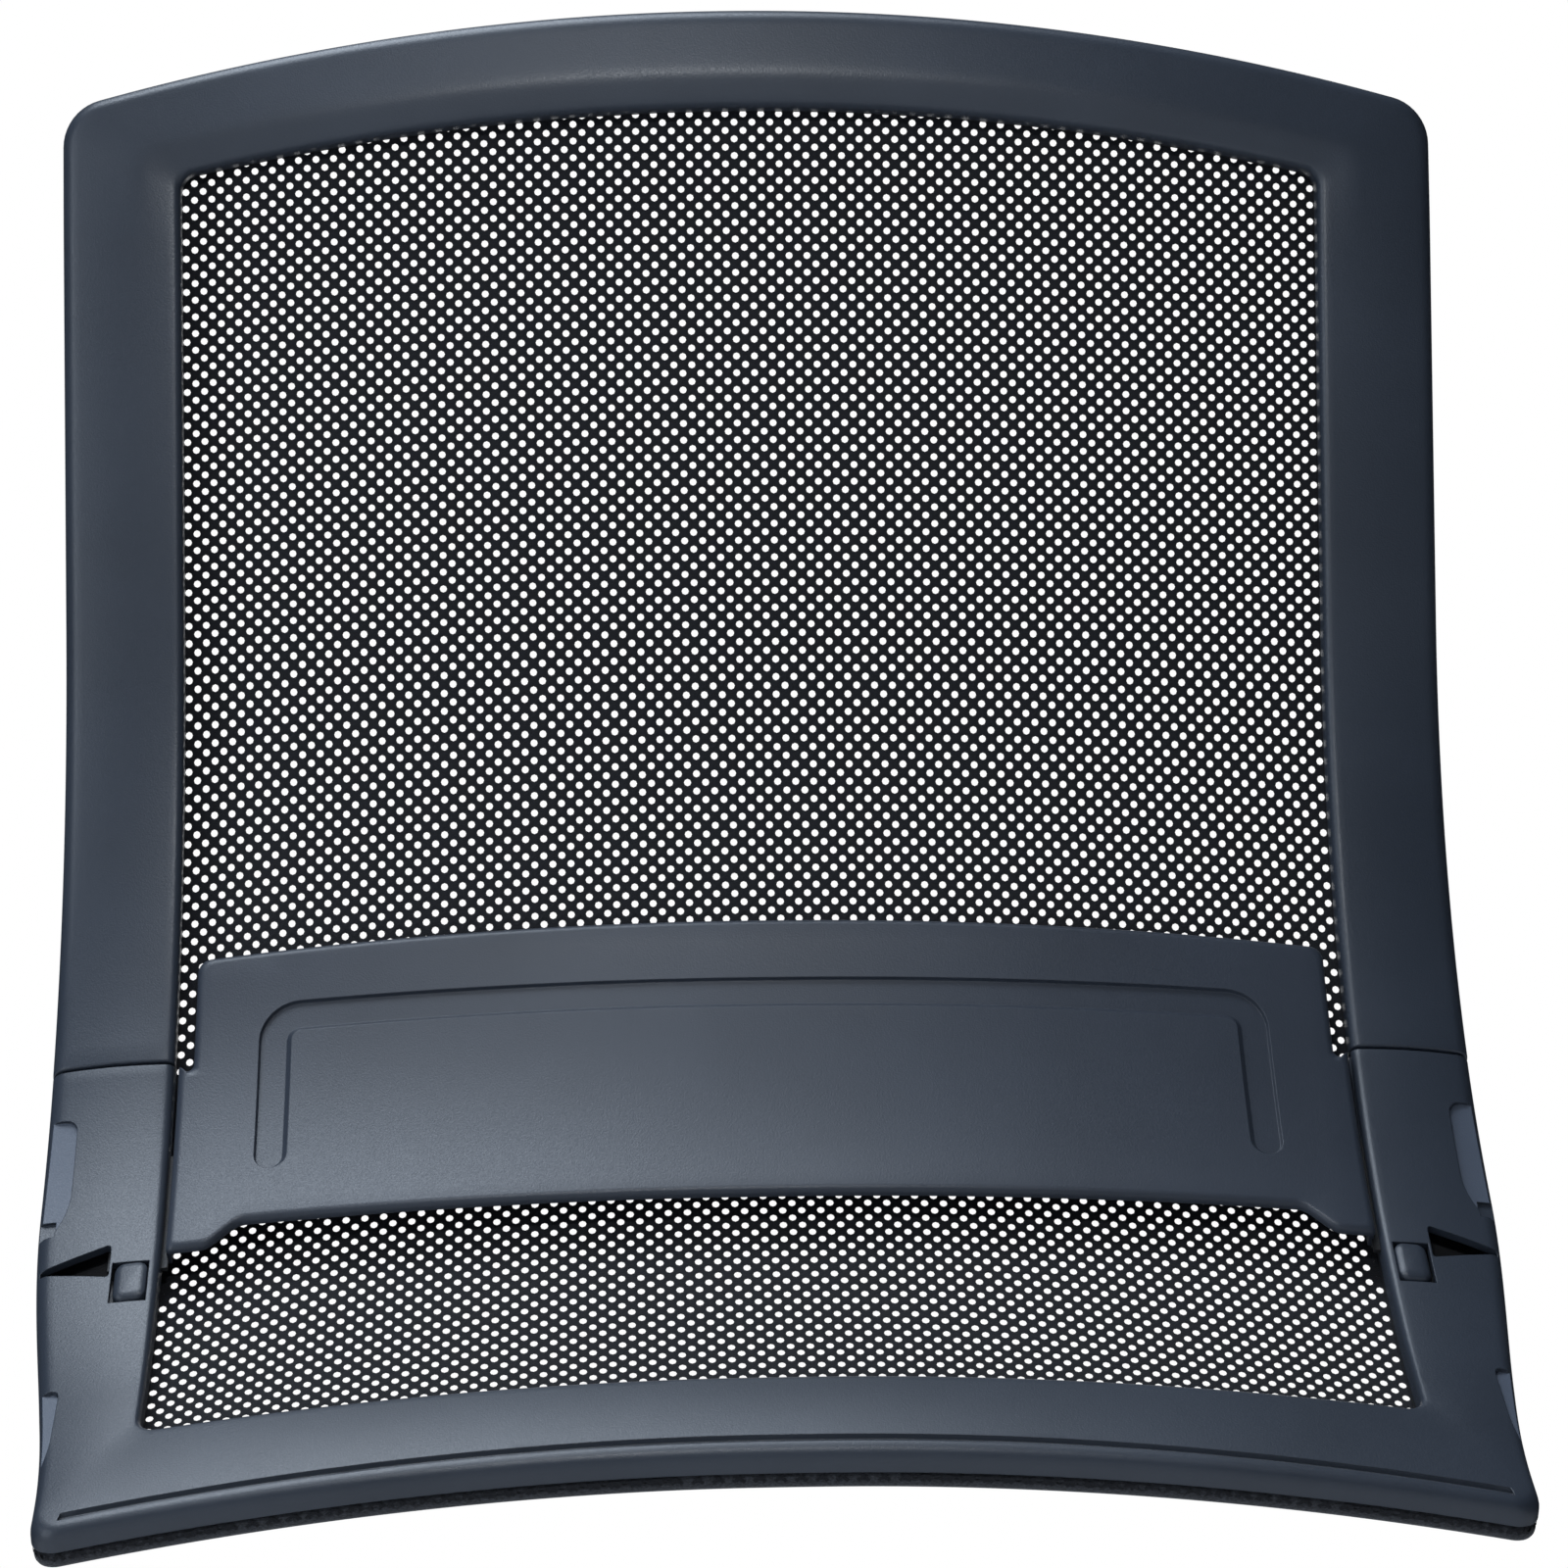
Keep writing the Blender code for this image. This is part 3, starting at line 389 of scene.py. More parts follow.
def piece(name, mesh, body, replaces, materials, across=(), down=(), second=None):
    """Bends a flat mesh, once it is cut at the given stations, and makes it a piece that rides on body.

    Faces whose flat middle passes the test named second take the second material.
    """
    bm = bmesh.new()
    bm.from_mesh(mesh)
    for axis, places in ((0, across), (1, down)):
        normal = (1 - axis, axis, 0)
        for where in places:
            geometry = bm.verts[:] + bm.edges[:] + bm.faces[:]
            point = tuple(where * part for part in normal)
            bmesh.ops.bisect_plane(bm, geom=geometry, dist=1e-7, plane_co=point, plane_no=normal)
    for face in bm.faces:
        face.material_index = int(bool(second and second(face.calc_center_median())))
    for vertex, place in zip(bm.verts, bend([vertex.co for vertex in bm.verts])):
        vertex.co = place
    made = bpy.data.meshes.new(name)
    bm.to_mesh(made)
    bm.free()
    for material in materials:
        made.materials.append(material)
    made.shade_smooth()
    made.set_sharp_from_angle(angle=SHARP)
    item = bpy.data.objects.new(name, made)
    bpy.context.collection.objects.link(item)
    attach(item, body)
    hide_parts(*replaces)
    return item


def stations(low, high, step):
    return np.linspace(low, high, max(int(round((high - low) / step)), 1) + 1)[1:-1]


# --- the rear shells ----------------


def section(width, drop, crown, bulge, ridged):
    """(distance from the outer edge, n): over the rear skin from wall to wall, then back along the inside.

    ridged turns the even crown into the top bar's two faces, which meet in a soft crest.
    """
    def skin(d):
        beyond = d / width - CREST
        faces = CREST_LEAN * beyond + CREST_RISE * (math.hypot(beyond, CREST_SOFT) - CREST_SOFT)
        even = (2 * d / width - 1) ** 2
        return drop - bulge + crown * (even + (faces - even) * ridged)

    turns = [math.pi / 2 * i / ROUND_STEPS for i in range(ROUND_STEPS + 1)]
    points = [(0, SHELL_FRONT)]
    for turn in turns:
        d = OUTER_ROUND * (1 - math.cos(turn))
        points.append((d, skin(d) + OUTER_ROUND * (1 - math.sin(turn))))
    flat = width - OUTER_ROUND - INNER_ROUND
    across = [OUTER_ROUND + flat * i / SKIN_STEPS for i in range(1, SKIN_STEPS)]
    points += [(d, skin(d)) for d in across]
    for turn in turns[::-1]:
        d = width - INNER_ROUND * (1 - math.cos(turn))
        points.append((d, skin(d) + INNER_ROUND * (1 - math.sin(turn))))
    points += [(width, SHELL_FRONT), (width - WALL, SHELL_FRONT)]
    inner = [width - WALL, width * 0.66, width * 0.33, WALL]
    points += [(d, min(skin(d) + WALL, SHELL_FRONT - MM)) for d in inner]
    points.append((WALL, SHELL_FRONT))
    return points


def shell_rings(outer, inner, lower):
    """A ring of (x, s, n) points at each pair of matched points of the two edges."""
    rings = []
    end = outer[0][1]
    for (x0, s0), (x1, s1) in zip(outer, inner):
        width = math.hypot(x1 - x0, s1 - s0)
        at_top = 0.0 if lower else 1 - smooth((s0 + s1) / 2 / (45 * MM))
        at_foot = smooth((s0 - SEAM) / (60 * MM)) if lower else 0.0
        crown = STILE_CROWN + (TOP_CROWN - STILE_CROWN) * at_top + (FOOT_CROWN - STILE_CROWN) * at_foot
        bulge = STILE_BULGE + (TOP_BULGE - STILE_BULGE) * at_top
        near_end = max(1 - abs(s0 - end) / END_ROUND, 0)
        drop = (LOWER_STEP if lower else 0.0) + END_ROUND * (1 - math.sqrt(1 - near_end**2))
        shape = section(width, drop, crown, bulge, at_top)
        rings.append([(x0 + (x1 - x0) * d / width, s0 + (s1 - s0) * d / width, n) for d, n in shape])
    return rings


def tongue_slots():
    top, bottom, back, front = TONGUE_SLOT
    return both(box(OPEN_HALF - OVERCUT, OPEN_HALF + WALL + 0.1 * MM, top, bottom, back, front))


def upper_shell(plastic):
    end = SEAM - SEAM_GAP / 2
    rounding = [end - END_ROUND * part for part in (1, 0.6, 0.25, 0.05, 0)]
    outer, inner = outer_top(), open_top()
    outer += outer_side(outer[-1][1], rounding[0]) + [(OUTER_HALF, s) for s in rounding]
    inner += open_side(inner[-1][1], rounding[0]) + [(OPEN_HALF, s) for s in rounding]
    outer, inner = mirrored(outer)[:-1] + outer, mirrored(inner)[:-1] + inner
    body = boolean(lofted(shell_rings(outer, inner, False)), tongue_slots(), "DIFFERENCE")
    piece("rear_upper_shell_skin", body, "frame", ["rear_upper_shell"], [plastic])


def pocket(top, bottom, width, depth, taper):
    inner = outer_half_at(top) - width
    outside = OUTER_HALF + 2 * OVERCUT
    cornered = min(width / 2.4, 4 * MM)
    outline = [(outside, top)]
    for i in range(5):
        turn = math.pi / 2 * (1 + i / 4)
        outline.append((inner + cornered * (1 + math.cos(turn)), top + cornered * (1 - math.sin(turn))))
    foot = outline[-1][1] + (bottom - outline[-1][1]) * 0.55
    for i in range(1, 7):
        t = i / 6
        outline.append((inner + taper * t**2.2, foot + (bottom - foot) * t))
    outline.append((outside, bottom))
    return prism(outline, LOWER_STEP - 2.5 * MM, LOWER_STEP + depth)


def hook_socket():
    edge = outer_half_at(HOOK_TOP + HOOK_HEIGHT / 2)
    inner = OUTER_HALF - HOOK_INSET
    foot = HOOK_TOP + HOOK_HEIGHT
    outline = [(inner + 2.2 * MM, HOOK_TOP + 1.1 * MM), (inner + 1.2 * MM, HOOK_TOP + 0.7 * MM)]
    outline += [(inner + 0.4 * MM, HOOK_TOP + 1 * MM), (inner, HOOK_TOP + 2 * MM)]
    outline += [(inner, foot - 1 * MM), (inner + 0.3 * MM, foot - 0.3 * MM), (inner + 1 * MM, foot)]
    outline += [(edge - HOOK_TIP_INSET, HOOK_TOP + HOOK_HEIGHT * part) for part in (0.68, 0.55)]
    return prism(outline, LOWER_STEP - 3 * MM, LOWER_STEP + WALL + 2 * OVERCUT)


def foot_groove():
    """A groove along the bottom rail whose mouth is wider than its floor."""
    count = CROWN_STEPS + 1
    levels = []
    for slope, n in ((GROOVE_SLOPE, -2 * MM), (GROOVE_SLOPE, -0.1 * MM), (0, GROOVE_DEPTH)):
        upper = outer_bottom(GROOVE_INSET + GROOVE_WIDTH + slope)[:count]
        lower = outer_bottom(GROOVE_INSET - slope)[:count]
        outline = mirrored(upper)[:-1] + upper + lower[::-1] + mirrored(lower[::-1])[1:]
        levels.append([(x, s, LOWER_STEP + n) for x, s in outline])
    return lofted(levels)


def lower_shell(plastic, painted_light_floor):
    start = SEAM + SEAM_GAP / 2
    outer_foot, inner_foot = outer_bottom()[::-1], open_bottom()[::-1]
    rounding = [start + END_ROUND * part for part in (0, 0.05, 0.25, 0.6, 1)]
    outer = [(OUTER_HALF, s) for s in rounding] + outer_side(rounding[-1], outer_foot[0][1]) + outer_foot
    inner = [(OPEN_HALF, s) for s in rounding] + open_side(rounding[-1], inner_foot[0][1]) + inner_foot
    outer, inner = outer + mirrored(outer)[1:], inner + mirrored(inner)[1:]
    body = lofted(shell_rings(outer, inner, True))
    top, bottom, width = UPPER_POCKET
    cuts = both(pocket(top, bottom, width, POCKET_DEPTH, width * 0.55))
    edge = outer_half_at(bottom)
    wedge_depth = LOWER_STEP + POCKET_DEPTH + WEDGE_DEPTH
    wedge = (edge - WEDGE_WIDTH, OUTER_HALF + OVERCUT, bottom - WEDGE_HEIGHT, bottom, -MM, wedge_depth)
    cuts += both(box(*wedge))
    top, bottom, width = LOWER_POCKET
    cuts += both(pocket(top, bottom, width, POCKET_DEPTH, width * 0.4))
    cuts += both(hook_socket())
    tight, wide = 0.15 * MM, 0.9 * MM
    window_x = (STOP_INNER - tight, STOP_INNER + STOP_WIDTH + wide)
    window_s = (STOP_TOP - tight, STOP_TOP + STOP_HEIGHT + wide)
    cuts += both(box(*window_x, *window_s, LOWER_STEP - 3 * MM, LOWER_STEP + WALL + OVERCUT))
    cuts += [foot_groove()] + tongue_slots()
    body = boolean(body, cuts, "DIFFERENCE")
    rows = np.concatenate([stations(t, b, FINE_S) for t, b, _ in (UPPER_POCKET, LOWER_POCKET)])
    floor = LOWER_STEP + POCKET_DEPTH

    # Picks the pocket floors, which take the painted light.
    def on_lit_pocket_floor(middle):
        return abs(middle.z - floor) < 0.02 * MM and abs(middle.x) > OPEN_HALF + 2 * WALL

    # The pocket floors get the second material, a lighter copy of the shell plastic: painted light on the
    # recessed floors.
    name, replaced, slot = "rear_lower_shell_skin", ["rear_lower_shell"], "frame_plastic"
    piece(name, body, "frame", replaced, [plastic, painted_light_floor], (), rows, on_lit_pocket_floor)


# --- the lumbar panel ----------------


def panel_outline(inset):
    upper_half = OPEN_HALF - PANEL_SIDE_SLOT - inset
    ear_half = OPEN_HALF - EAR_GAP - inset
    bottom = PANEL_BOTTOM - inset
    ear_top = EAR_TOP + inset
    ear_bottom = EAR_BOTTOM - inset
    slope_top = OPEN_HALF - EAR_GAP - EAR_WIDTH - EAR_SLOPE
    points = half_edge(upper_half, PANEL_TOP + inset, PANEL_TOP_CROWN_RADIUS, PANEL_CORNER, 24, 6)
    reach = (ear_half - upper_half) / 2
    for i in range(1, 10):
        turn = math.pi * (1 - i / 10)
        points.append((upper_half + reach + reach * math.cos(turn), ear_top - reach + reach * math.sin(turn)))
    corner = 1.8 * MM
    for i in range(5):
        turn = math.pi / 2 * i / 4
        away = corner * (1 - math.sin(turn))
        points.append((ear_half - corner * (1 - math.cos(turn)), ear_bottom - away))
    rounding = 1.2 * MM
    low_corner, high_corner = slope_top + EAR_SLOPE, slope_top
    rise = ear_bottom - bottom
    for i in range(9):
        t = i / 8
        ease = smooth(t)
        x = low_corner + rounding - (EAR_SLOPE + 2 * rounding) * t
        points.append((x, ear_bottom - rise * ease))
    points += [(high_corner * (1 - i / 12), bottom) for i in range(1, 12)] + [(0, bottom)]
    return points + mirrored(points)[1:-1]


def u_outline(outer_grow, inner_grow):
    """The U groove's outline, with its outer and inner walls moved out of the groove by these."""
    crown = PANEL_TOP_CROWN_RADIUS * 2
    outer = half_edge(U_HALF + outer_grow, U_TOP - outer_grow, crown, U_CORNER + outer_grow, 20, 10)
    half = U_HALF - U_WIDTH - inner_grow
    radius = max(U_CORNER - U_WIDTH - inner_grow, MM)
    inner = half_edge(half, U_TOP + U_WIDTH + inner_grow, crown, radius, 20, 10)
    middle = (U_HALF + outer_grow + half) / 2
    reach = (U_HALF + outer_grow - half) / 2
    turns = (math.pi * i / 10 for i in range(11))
    centre = U_BOTTOM - U_WIDTH / 2
    end = [(middle + reach * math.cos(turn), centre + reach * math.sin(turn)) for turn in turns]
    right = outer + end + inner[::-1]
    return right + mirrored(right)[1:-1]


def lumbar_panel(plastic):
    levels = []
    for i in range(ROUND_STEPS + 1):
        turn = math.pi / 2 * i / ROUND_STEPS
        outline = panel_outline(PANEL_EDGE * (1 - math.sin(turn)))
        levels.append((outline, PANEL_BACK + PANEL_EDGE * (1 - math.cos(turn))))
    levels.append((panel_outline(0), PANEL_FRONT))
    body = lofted([[(x, s, n) for x, s in outline] for outline, n in levels])
    reach = OPEN_HALF - RIB_SIDE
    back, front = PANEL_FRONT - 0.5 * MM, PANEL_FRONT + RIB_HEIGHT
    ribs = [box(-reach, reach, s, s + RIB_WIDTH, back, front) for s in (RIB_TOP, RIB_BOTTOM - RIB_WIDTH)]
    count = int((reach - RIB_WIDTH) / RIB_PITCH)
    for i in range(-count, count + 1):
        side = i * RIB_PITCH - RIB_WIDTH / 2
        ends = (RIB_TOP + RIB_WIDTH / 2, RIB_BOTTOM - RIB_WIDTH / 2)
        ribs.append(box(side, side + RIB_WIDTH, *ends, back, front - 0.5 * MM))
    ear = OPEN_HALF - EAR_GAP
    flange_ends = ((EAR_TOP - MM, BLOCK_TOP - 0.3 * MM), (BLOCK_BOTTOM + 0.3 * MM, EAR_BOTTOM - 2 * MM))
    for top, bottom in flange_ends:
        ribs += both(box(ear - 1.6 * MM, ear - 0.1 * MM, top, bottom, back, SHELL_FRONT))
    body = boolean(body, ribs, "UNION")
    floor = PANEL_BACK + U_DEPTH
    walls = [(u_outline(0, 0), floor), (u_outline(0.5 * MM, 1.6 * MM), PANEL_BACK)]
    walls.append((u_outline(0.7 * MM, 2 * MM), PANEL_BACK - 0.4 * MM))
    groove = lofted([[(x, s, n) for x, s in outline] for outline, n in walls])
    body = boolean(body, [groove], "DIFFERENCE")
    half = OPEN_HALF - EAR_GAP
    across = stations(-half, half, FINE_X)
    down = stations(PANEL_TOP, EAR_BOTTOM, FINE_S)
    piece("lumbar_panel_skin", body, "lumbar", ["lumbar_panel"], [plastic], across, down)


def end_stops(plastic):
    x0, x1 = STOP_INNER, STOP_INNER + STOP_WIDTH
    s0, s1 = STOP_TOP, STOP_TOP + STOP_HEIGHT
    radius = 3.4 * MM
    rounding = [(2.6, STOP_BACK), (1.2, STOP_BACK + 0.35 * MM), (0.4, STOP_BACK + 1 * MM)]
    levels = []
    for inset, n in rounding + [(0, STOP_BACK + 2 * MM), (0, SHELL_FRONT)]:
        inset *= MM
        ring = []
        for cx, cs, start in (
            (x1 - radius, s0 + radius, -0.5),
            (x1 - radius, s1 - radius, 0),
            (x0 + radius, s1 - radius, 0.5),
            (x0 + radius, s0 + radius, 1),
        ):
            for i in range(6):
                turn = math.pi * (start + i / 10)
                reach = radius - inset
                ring.append((cx + reach * math.cos(turn), cs + reach * math.sin(turn), n))
        levels.append(ring)
    for side, mesh in zip(("right", "left"), both(lofted(levels))):
        stop = f"slide_end_stop_{side}"
        piece(stop + "_fine", mesh, "frame", [stop], [plastic])


# --- the knitted mesh ----------------


def inside(points, outline):
    """Which of the points lie inside the outline."""
    found = np.zeros(len(points), bool)
    for (x0, s0), (x1, s1) in zip(outline, np.roll(outline, -1, 0)):
        if s0 == s1:
            continue
        crossed = (s0 > points[:, 1]) != (s1 > points[:, 1])
        found ^= crossed & (points[:, 0] < (x1 - x0) * (points[:, 1] - s0) / (s1 - s0) + x0)
    return found


def nearest(points, outline):
    """The nearest place on the outline to each point."""
    best = np.full(len(points), np.inf)
    place = np.zeros_like(points)
    for start, end in zip(outline, np.roll(outline, -1, 0)):
        along = end - start
        t = np.clip((points - start) @ along / max(along @ along, 1e-18), 0, 1)
        foot = start + t[:, None] * along
        far = np.linalg.norm(points - foot, axis=1)
        closer = far < best
        best[closer] = far[closer]
        place[closer] = foot[closer]
    return place, best


def wrapped(points, levels):
    """Flat cloth points turned back round the carrier's edge."""
    edge = cloth_edge(MESH_INSET + MESH_EDGE_RADIUS)
    out = np.where(~inside(points, edge))[0]
    x, s, n = points[:, 0].copy(), points[:, 1].copy(), levels.copy()
    foot, far = nearest(points[out], edge)
    direction = (points[out] - foot) / np.maximum(far, 1e-9)[:, None]
    turn = np.minimum(far / MESH_EDGE_RADIUS, math.pi / 2)
    straight = np.maximum(far - MESH_EDGE_RADIUS * math.pi / 2, 0)
    radius = MESH_EDGE_RADIUS + (levels[out] - MESH_LEVEL)
    reach = radius * np.sin(turn)
    x[out] = foot[:, 0] + direction[:, 0] * reach
    s[out] = foot[:, 1] + direction[:, 1] * reach
    n[out] = np.maximum(MESH_LEVEL - MESH_EDGE_RADIUS + radius * np.cos(turn) - straight, MESH_EDGE_BACK)
    return np.stack([x, s, n], axis=1)


def cloth_edge(inset):
    """The outline of the cloth's turned edge, which hangs a little below the bottom rail."""
    edge = whole_outer(inset)
    edge[:, 1] += [FOOT_PROUD * smooth((s - OPEN_BOTTOM) / BOTTOM_RAIL_HEIGHT) for s in edge[:, 1]]
    return edge


def cloth_place(i, j):
    """Flat places of lattice points, counted in half pitches across and down."""
    x = i * HOLE_PITCH_X / 2
    s = j * HOLE_PITCH_S / 2 + ROW_BOW * (x / BOW_HALF) ** 2
    return np.stack([x * (1 - SIDE_SHRINK * (x / BOW_HALF) ** 2), s], axis=1)


def knitted(low, high):
    """(points, faces) of the cloth between two values of s, with a hole in each cell of the lattice."""
    far = MESH_EDGE_RADIUS * math.pi / 2 + (MESH_LEVEL - MESH_EDGE_RADIUS - MESH_EDGE_BACK)
    i, j = np.meshgrid(np.arange(-HALF_COLUMNS, HALF_COLUMNS + 1), np.arange(-ROWS_ABOVE, ROWS_BELOW))
    cells = np.stack([i.ravel(), j.ravel()], axis=1)
    cells = cells[(cells[:, 0] + cells[:, 1]) % 2 == 0].astype(float)
    centres = cloth_place(cells[:, 0], cells[:, 1])
    edge = cloth_edge(MESH_INSET + MESH_EDGE_RADIUS)
    kept = inside(centres, edge) | (nearest(centres, edge)[1] < far)
    row = cells[:, 1] * HOLE_PITCH_S / 2
    kept &= (row >= low) & (row < high)
    cells = cells[kept]
    ring = [(1, 0), (0.5, 0.5), (0, 1), (-0.5, 0.5), (-1, 0), (-0.5, -0.5), (0, -1), (0.5, -0.5)]
    outside = np.concatenate([cells + corner for corner in ring])
    flat_outside = cloth_place(outside[:, 0], outside[:, 1])
    centre = cloth_place(cells[:, 0], cells[:, 1])
    turns = [math.atan2(v * HOLE_PITCH_S, u * HOLE_PITCH_X) for u, v in ring]
    beside_ears = (centre[:, 1:] > EAR_TOP - 5 * MM) & (centre[:, 1:] < STOP_TOP + 4 * MM)
    glued = beside_ears & (np.abs(centre[:, :1]) > GLUED_FROM)
    radius = np.where(glued, CLOSED_RADIUS, HOLE_RADIUS)
    rims = [centre + radius * np.array([math.cos(turn), math.sin(turn)]) for turn in turns]
    flat = np.concatenate([flat_outside] + rims)
    count = len(cells)
    crossing = np.array([1.0 if k % 2 == 0 else 0.2 for k in range(8)])
    levels = np.concatenate([np.repeat(-crossing * STRAND_RELIEF, count), np.full(8 * count, STRAND_RELIEF)])
    points = wrapped(flat, MESH_LEVEL + levels)
    faces = []
    index = np.arange(count)
    for k in range(8):
        following = (k + 1) % 8
        quad = (k * count, following * count, (8 + following) * count, (8 + k) * count)
        faces.append(np.stack([start + index for start in quad], axis=1))
    return points, np.concatenate(faces)


def cloth(name, low, high, material, bound_by=()):
    flat_points, faces = knitted(low, high)
    mesh = bpy.data.meshes.new(name)
    places = bend(flat_points)
    mesh.from_pydata([tuple(p) for p in places], [], [tuple(f) for f in faces.tolist()])
    bm = bmesh.new()
    bm.from_mesh(mesh)
    bmesh.ops.remove_doubles(bm, verts=bm.verts, dist=2e-6)
    bm.normal_update()
    area = sum(face.calc_area() for face in bm.faces)
    bm.to_mesh(mesh)
    bm.free()
    mesh.materials.append(material)
    mesh.shade_smooth()
    item = bpy.data.objects.new(name, mesh)
    bpy.context.collection.objects.link(item)
    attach(item, "frame")
    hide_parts("mesh_panel")


def hem(material):
    """The close-knit band that binds the cloth's edge round the carrier."""
    turns = [math.pi * i / 8 for i in range(9)]
    depth = (MESH_LEVEL + HEM_PROUD - MESH_EDGE_BACK) / 2
    middle = MESH_EDGE_BACK + depth
    shape = [(HEM_WIDTH, middle + depth - HEM_THICKNESS), (HEM_WIDTH, middle + depth)]
    shape += [(HEM_BULGE * (1 - math.sin(turn)), middle + depth * math.cos(turn)) for turn in turns]
    shape += [(HEM_WIDTH * 0.7, middle - depth), (HEM_WIDTH * 0.7, middle - depth + HEM_THICKNESS)]
    outlines = [(cloth_edge(MESH_INSET + inset), n) for inset, n in shape]
    rings = [[(x, s, n) for x, s in outline] for outline, n in outlines]
    return piece("mesh_hem", lofted(rings, closed=True), "frame", ["mesh_panel"], [material])


# --- materials ----------------


def shader(name, colour, roughness, metallic=0.0):
    made = bpy.data.materials.new(name)
    made.use_nodes = True
    tree = made.node_tree
    node = tree.nodes["Principled BSDF"]
    node.inputs["Base Color"].default_value = (*colour, 1)
    node.inputs["Roughness"].default_value = roughness
    node.inputs["Metallic"].default_value = metallic
    return made, tree, node


def noise(tree, scale, detail=2.0, stretch=(1, 1, 1)):
    """A noise texture in the object's own metres; stretch squeezes it along the axes."""
    place = tree.nodes.new("ShaderNodeTexCoord")
    mapping = tree.nodes.new("ShaderNodeMapping")
    mapping.inputs["Scale"].default_value = stretch
    texture = tree.nodes.new("ShaderNodeTexNoise")
    texture.inputs["Scale"].default_value = scale
    texture.inputs["Detail"].default_value = detail
    tree.links.new(place.outputs["Object"], mapping.inputs["Vector"])
    tree.links.new(mapping.outputs["Vector"], texture.inputs["Vector"])
    return texture.outputs["Fac"]


def ramp(tree, value, low, high):
    """Colours or values from low to high as value goes from 0.3 to 0.7."""
    made = tree.nodes.new("ShaderNodeValToRGB")
    made.color_ramp.elements[0].position = 0.3
    made.color_ramp.elements[1].position = 0.7
    made.color_ramp.elements[0].color = low
    made.color_ramp.elements[1].color = high
    tree.links.new(value, made.inputs["Fac"])
    return made.outputs["Color"]


def softened(tree, node, radius):
    """Rounds every edge in the shading, as a mould does."""
    made = tree.nodes.new("ShaderNodeBevel")
    made.samples = 4
    made.inputs["Radius"].default_value = radius
    tree.links.new(made.outputs["Normal"], node.inputs["Normal"])


def bump(tree, node, value, depth, strength):
    made = tree.nodes.new("ShaderNodeBump")
    made.inputs["Distance"].default_value = depth
    made.inputs["Strength"].default_value = strength
    tree.links.new(value, made.inputs["Height"])
    before = node.inputs["Normal"].links
    if before:
        tree.links.new(before[0].from_socket, made.inputs["Normal"])
    tree.links.new(made.outputs["Normal"], node.inputs["Normal"])


def grey(value):
    return (value, value, value, 1)


def plastic(name, colour, roughness, grain=0.6):
    """Moulded plastic with a fine spark-eroded grain and faint flow marks."""
    made, tree, node = shader(name, colour, roughness)
    cloud = noise(tree, 14, 4)
    light = tuple(min(c * 1.12 + 0.002, 1) for c in colour)
    dark = tuple(c * 0.9 for c in colour)
    tree.links.new(ramp(tree, cloud, (*dark, 1), (*light, 1)), node.inputs["Base Color"])
    softened(tree, node, 0.5 * MM)
    fine = noise(tree, 1700, 3)
    tree.links.new(ramp(tree, fine, grey(roughness - 0.06), grey(roughness + 0.08)), node.inputs["Roughness"])
    bump(tree, node, fine, 0.0001, grain)
    bump(tree, node, noise(tree, 60, 2), 0.0004, 0.05)
    node.inputs["Specular IOR Level"].default_value = 0.5
    return made


def knit(name, dark, light, sheen, grain):
    """Black polyester yarn, from dark to light in its own fibres, with a dull sheen."""
    made, tree, node = shader(name, dark, 0.8)
    yarn = noise(tree, grain, 5, (1, 1, 2.2))
    tree.links.new(ramp(tree, yarn, (*dark, 1), (*light, 1)), node.inputs["Base Color"])
    tree.links.new(ramp(tree, yarn, grey(0.66), grey(0.95)), node.inputs["Roughness"])
    bump(tree, node, yarn, 0.0004, 0.8)
    node.inputs["Specular IOR Level"].default_value = 0.25
    node.inputs["Sheen Weight"].default_value = sheen
    node.inputs["Sheen Roughness"].default_value = 0.5
    return made


def steel(name):
    made, tree, node = shader(name, (0.42, 0.42, 0.44), 0.36, 1.0)
    streak = noise(tree, 900, 2, (1, 1, 6))
    tree.links.new(ramp(tree, streak, grey(0.28), grey(0.48)), node.inputs["Roughness"])
    tree.links.new(ramp(tree, streak, (0.32, 0.32, 0.33, 1), (0.5, 0.5, 0.52, 1)), node.inputs["Base Color"])
    bump(tree, node, streak, 0.00005, 0.3)
    return made


# --- studio ----------------


def area_light(name, place, target, size, power, colour=(1, 1, 1)):
    data = bpy.data.lights.new(name, "AREA")
    data.shape = "RECTANGLE"
    data.size, data.size_y = size
    data.energy = power
    data.color = colour
    item = bpy.data.objects.new(name, data)
    item.location = place
    item.rotation_euler = (Vector(target) - Vector(place)).to_track_quat("-Z", "Y").to_euler()
    bpy.context.collection.objects.link(item)


def floor_paint():
    """Pale matt paint that looks evenly lit without throwing its light on the object."""
    made, tree, node = shader("floor_paint", (0.86, 0.86, 0.87), 0.8)
    glow = tree.nodes.new("ShaderNodeEmission")
    glow.inputs["Color"].default_value = (0.94, 0.96, 1.0, 1)
    glow.inputs["Strength"].default_value = 0.75
    nothing = tree.nodes.new("ShaderNodeEmission")
    nothing.inputs["Strength"].default_value = 0.0
    path = tree.nodes.new("ShaderNodeLightPath")
    seen = tree.nodes.new("ShaderNodeMixShader")
    total = tree.nodes.new("ShaderNodeAddShader")
    tree.links.new(path.outputs["Is Camera Ray"], seen.inputs["Fac"])
    tree.links.new(nothing.outputs["Emission"], seen.inputs[1])
    tree.links.new(glow.outputs["Emission"], seen.inputs[2])
    tree.links.new(node.outputs["BSDF"], total.inputs[0])
    tree.links.new(seen.outputs["Shader"], total.inputs[1])
    tree.links.new(total.outputs["Shader"], tree.nodes["Material Output"].inputs["Surface"])
    return made


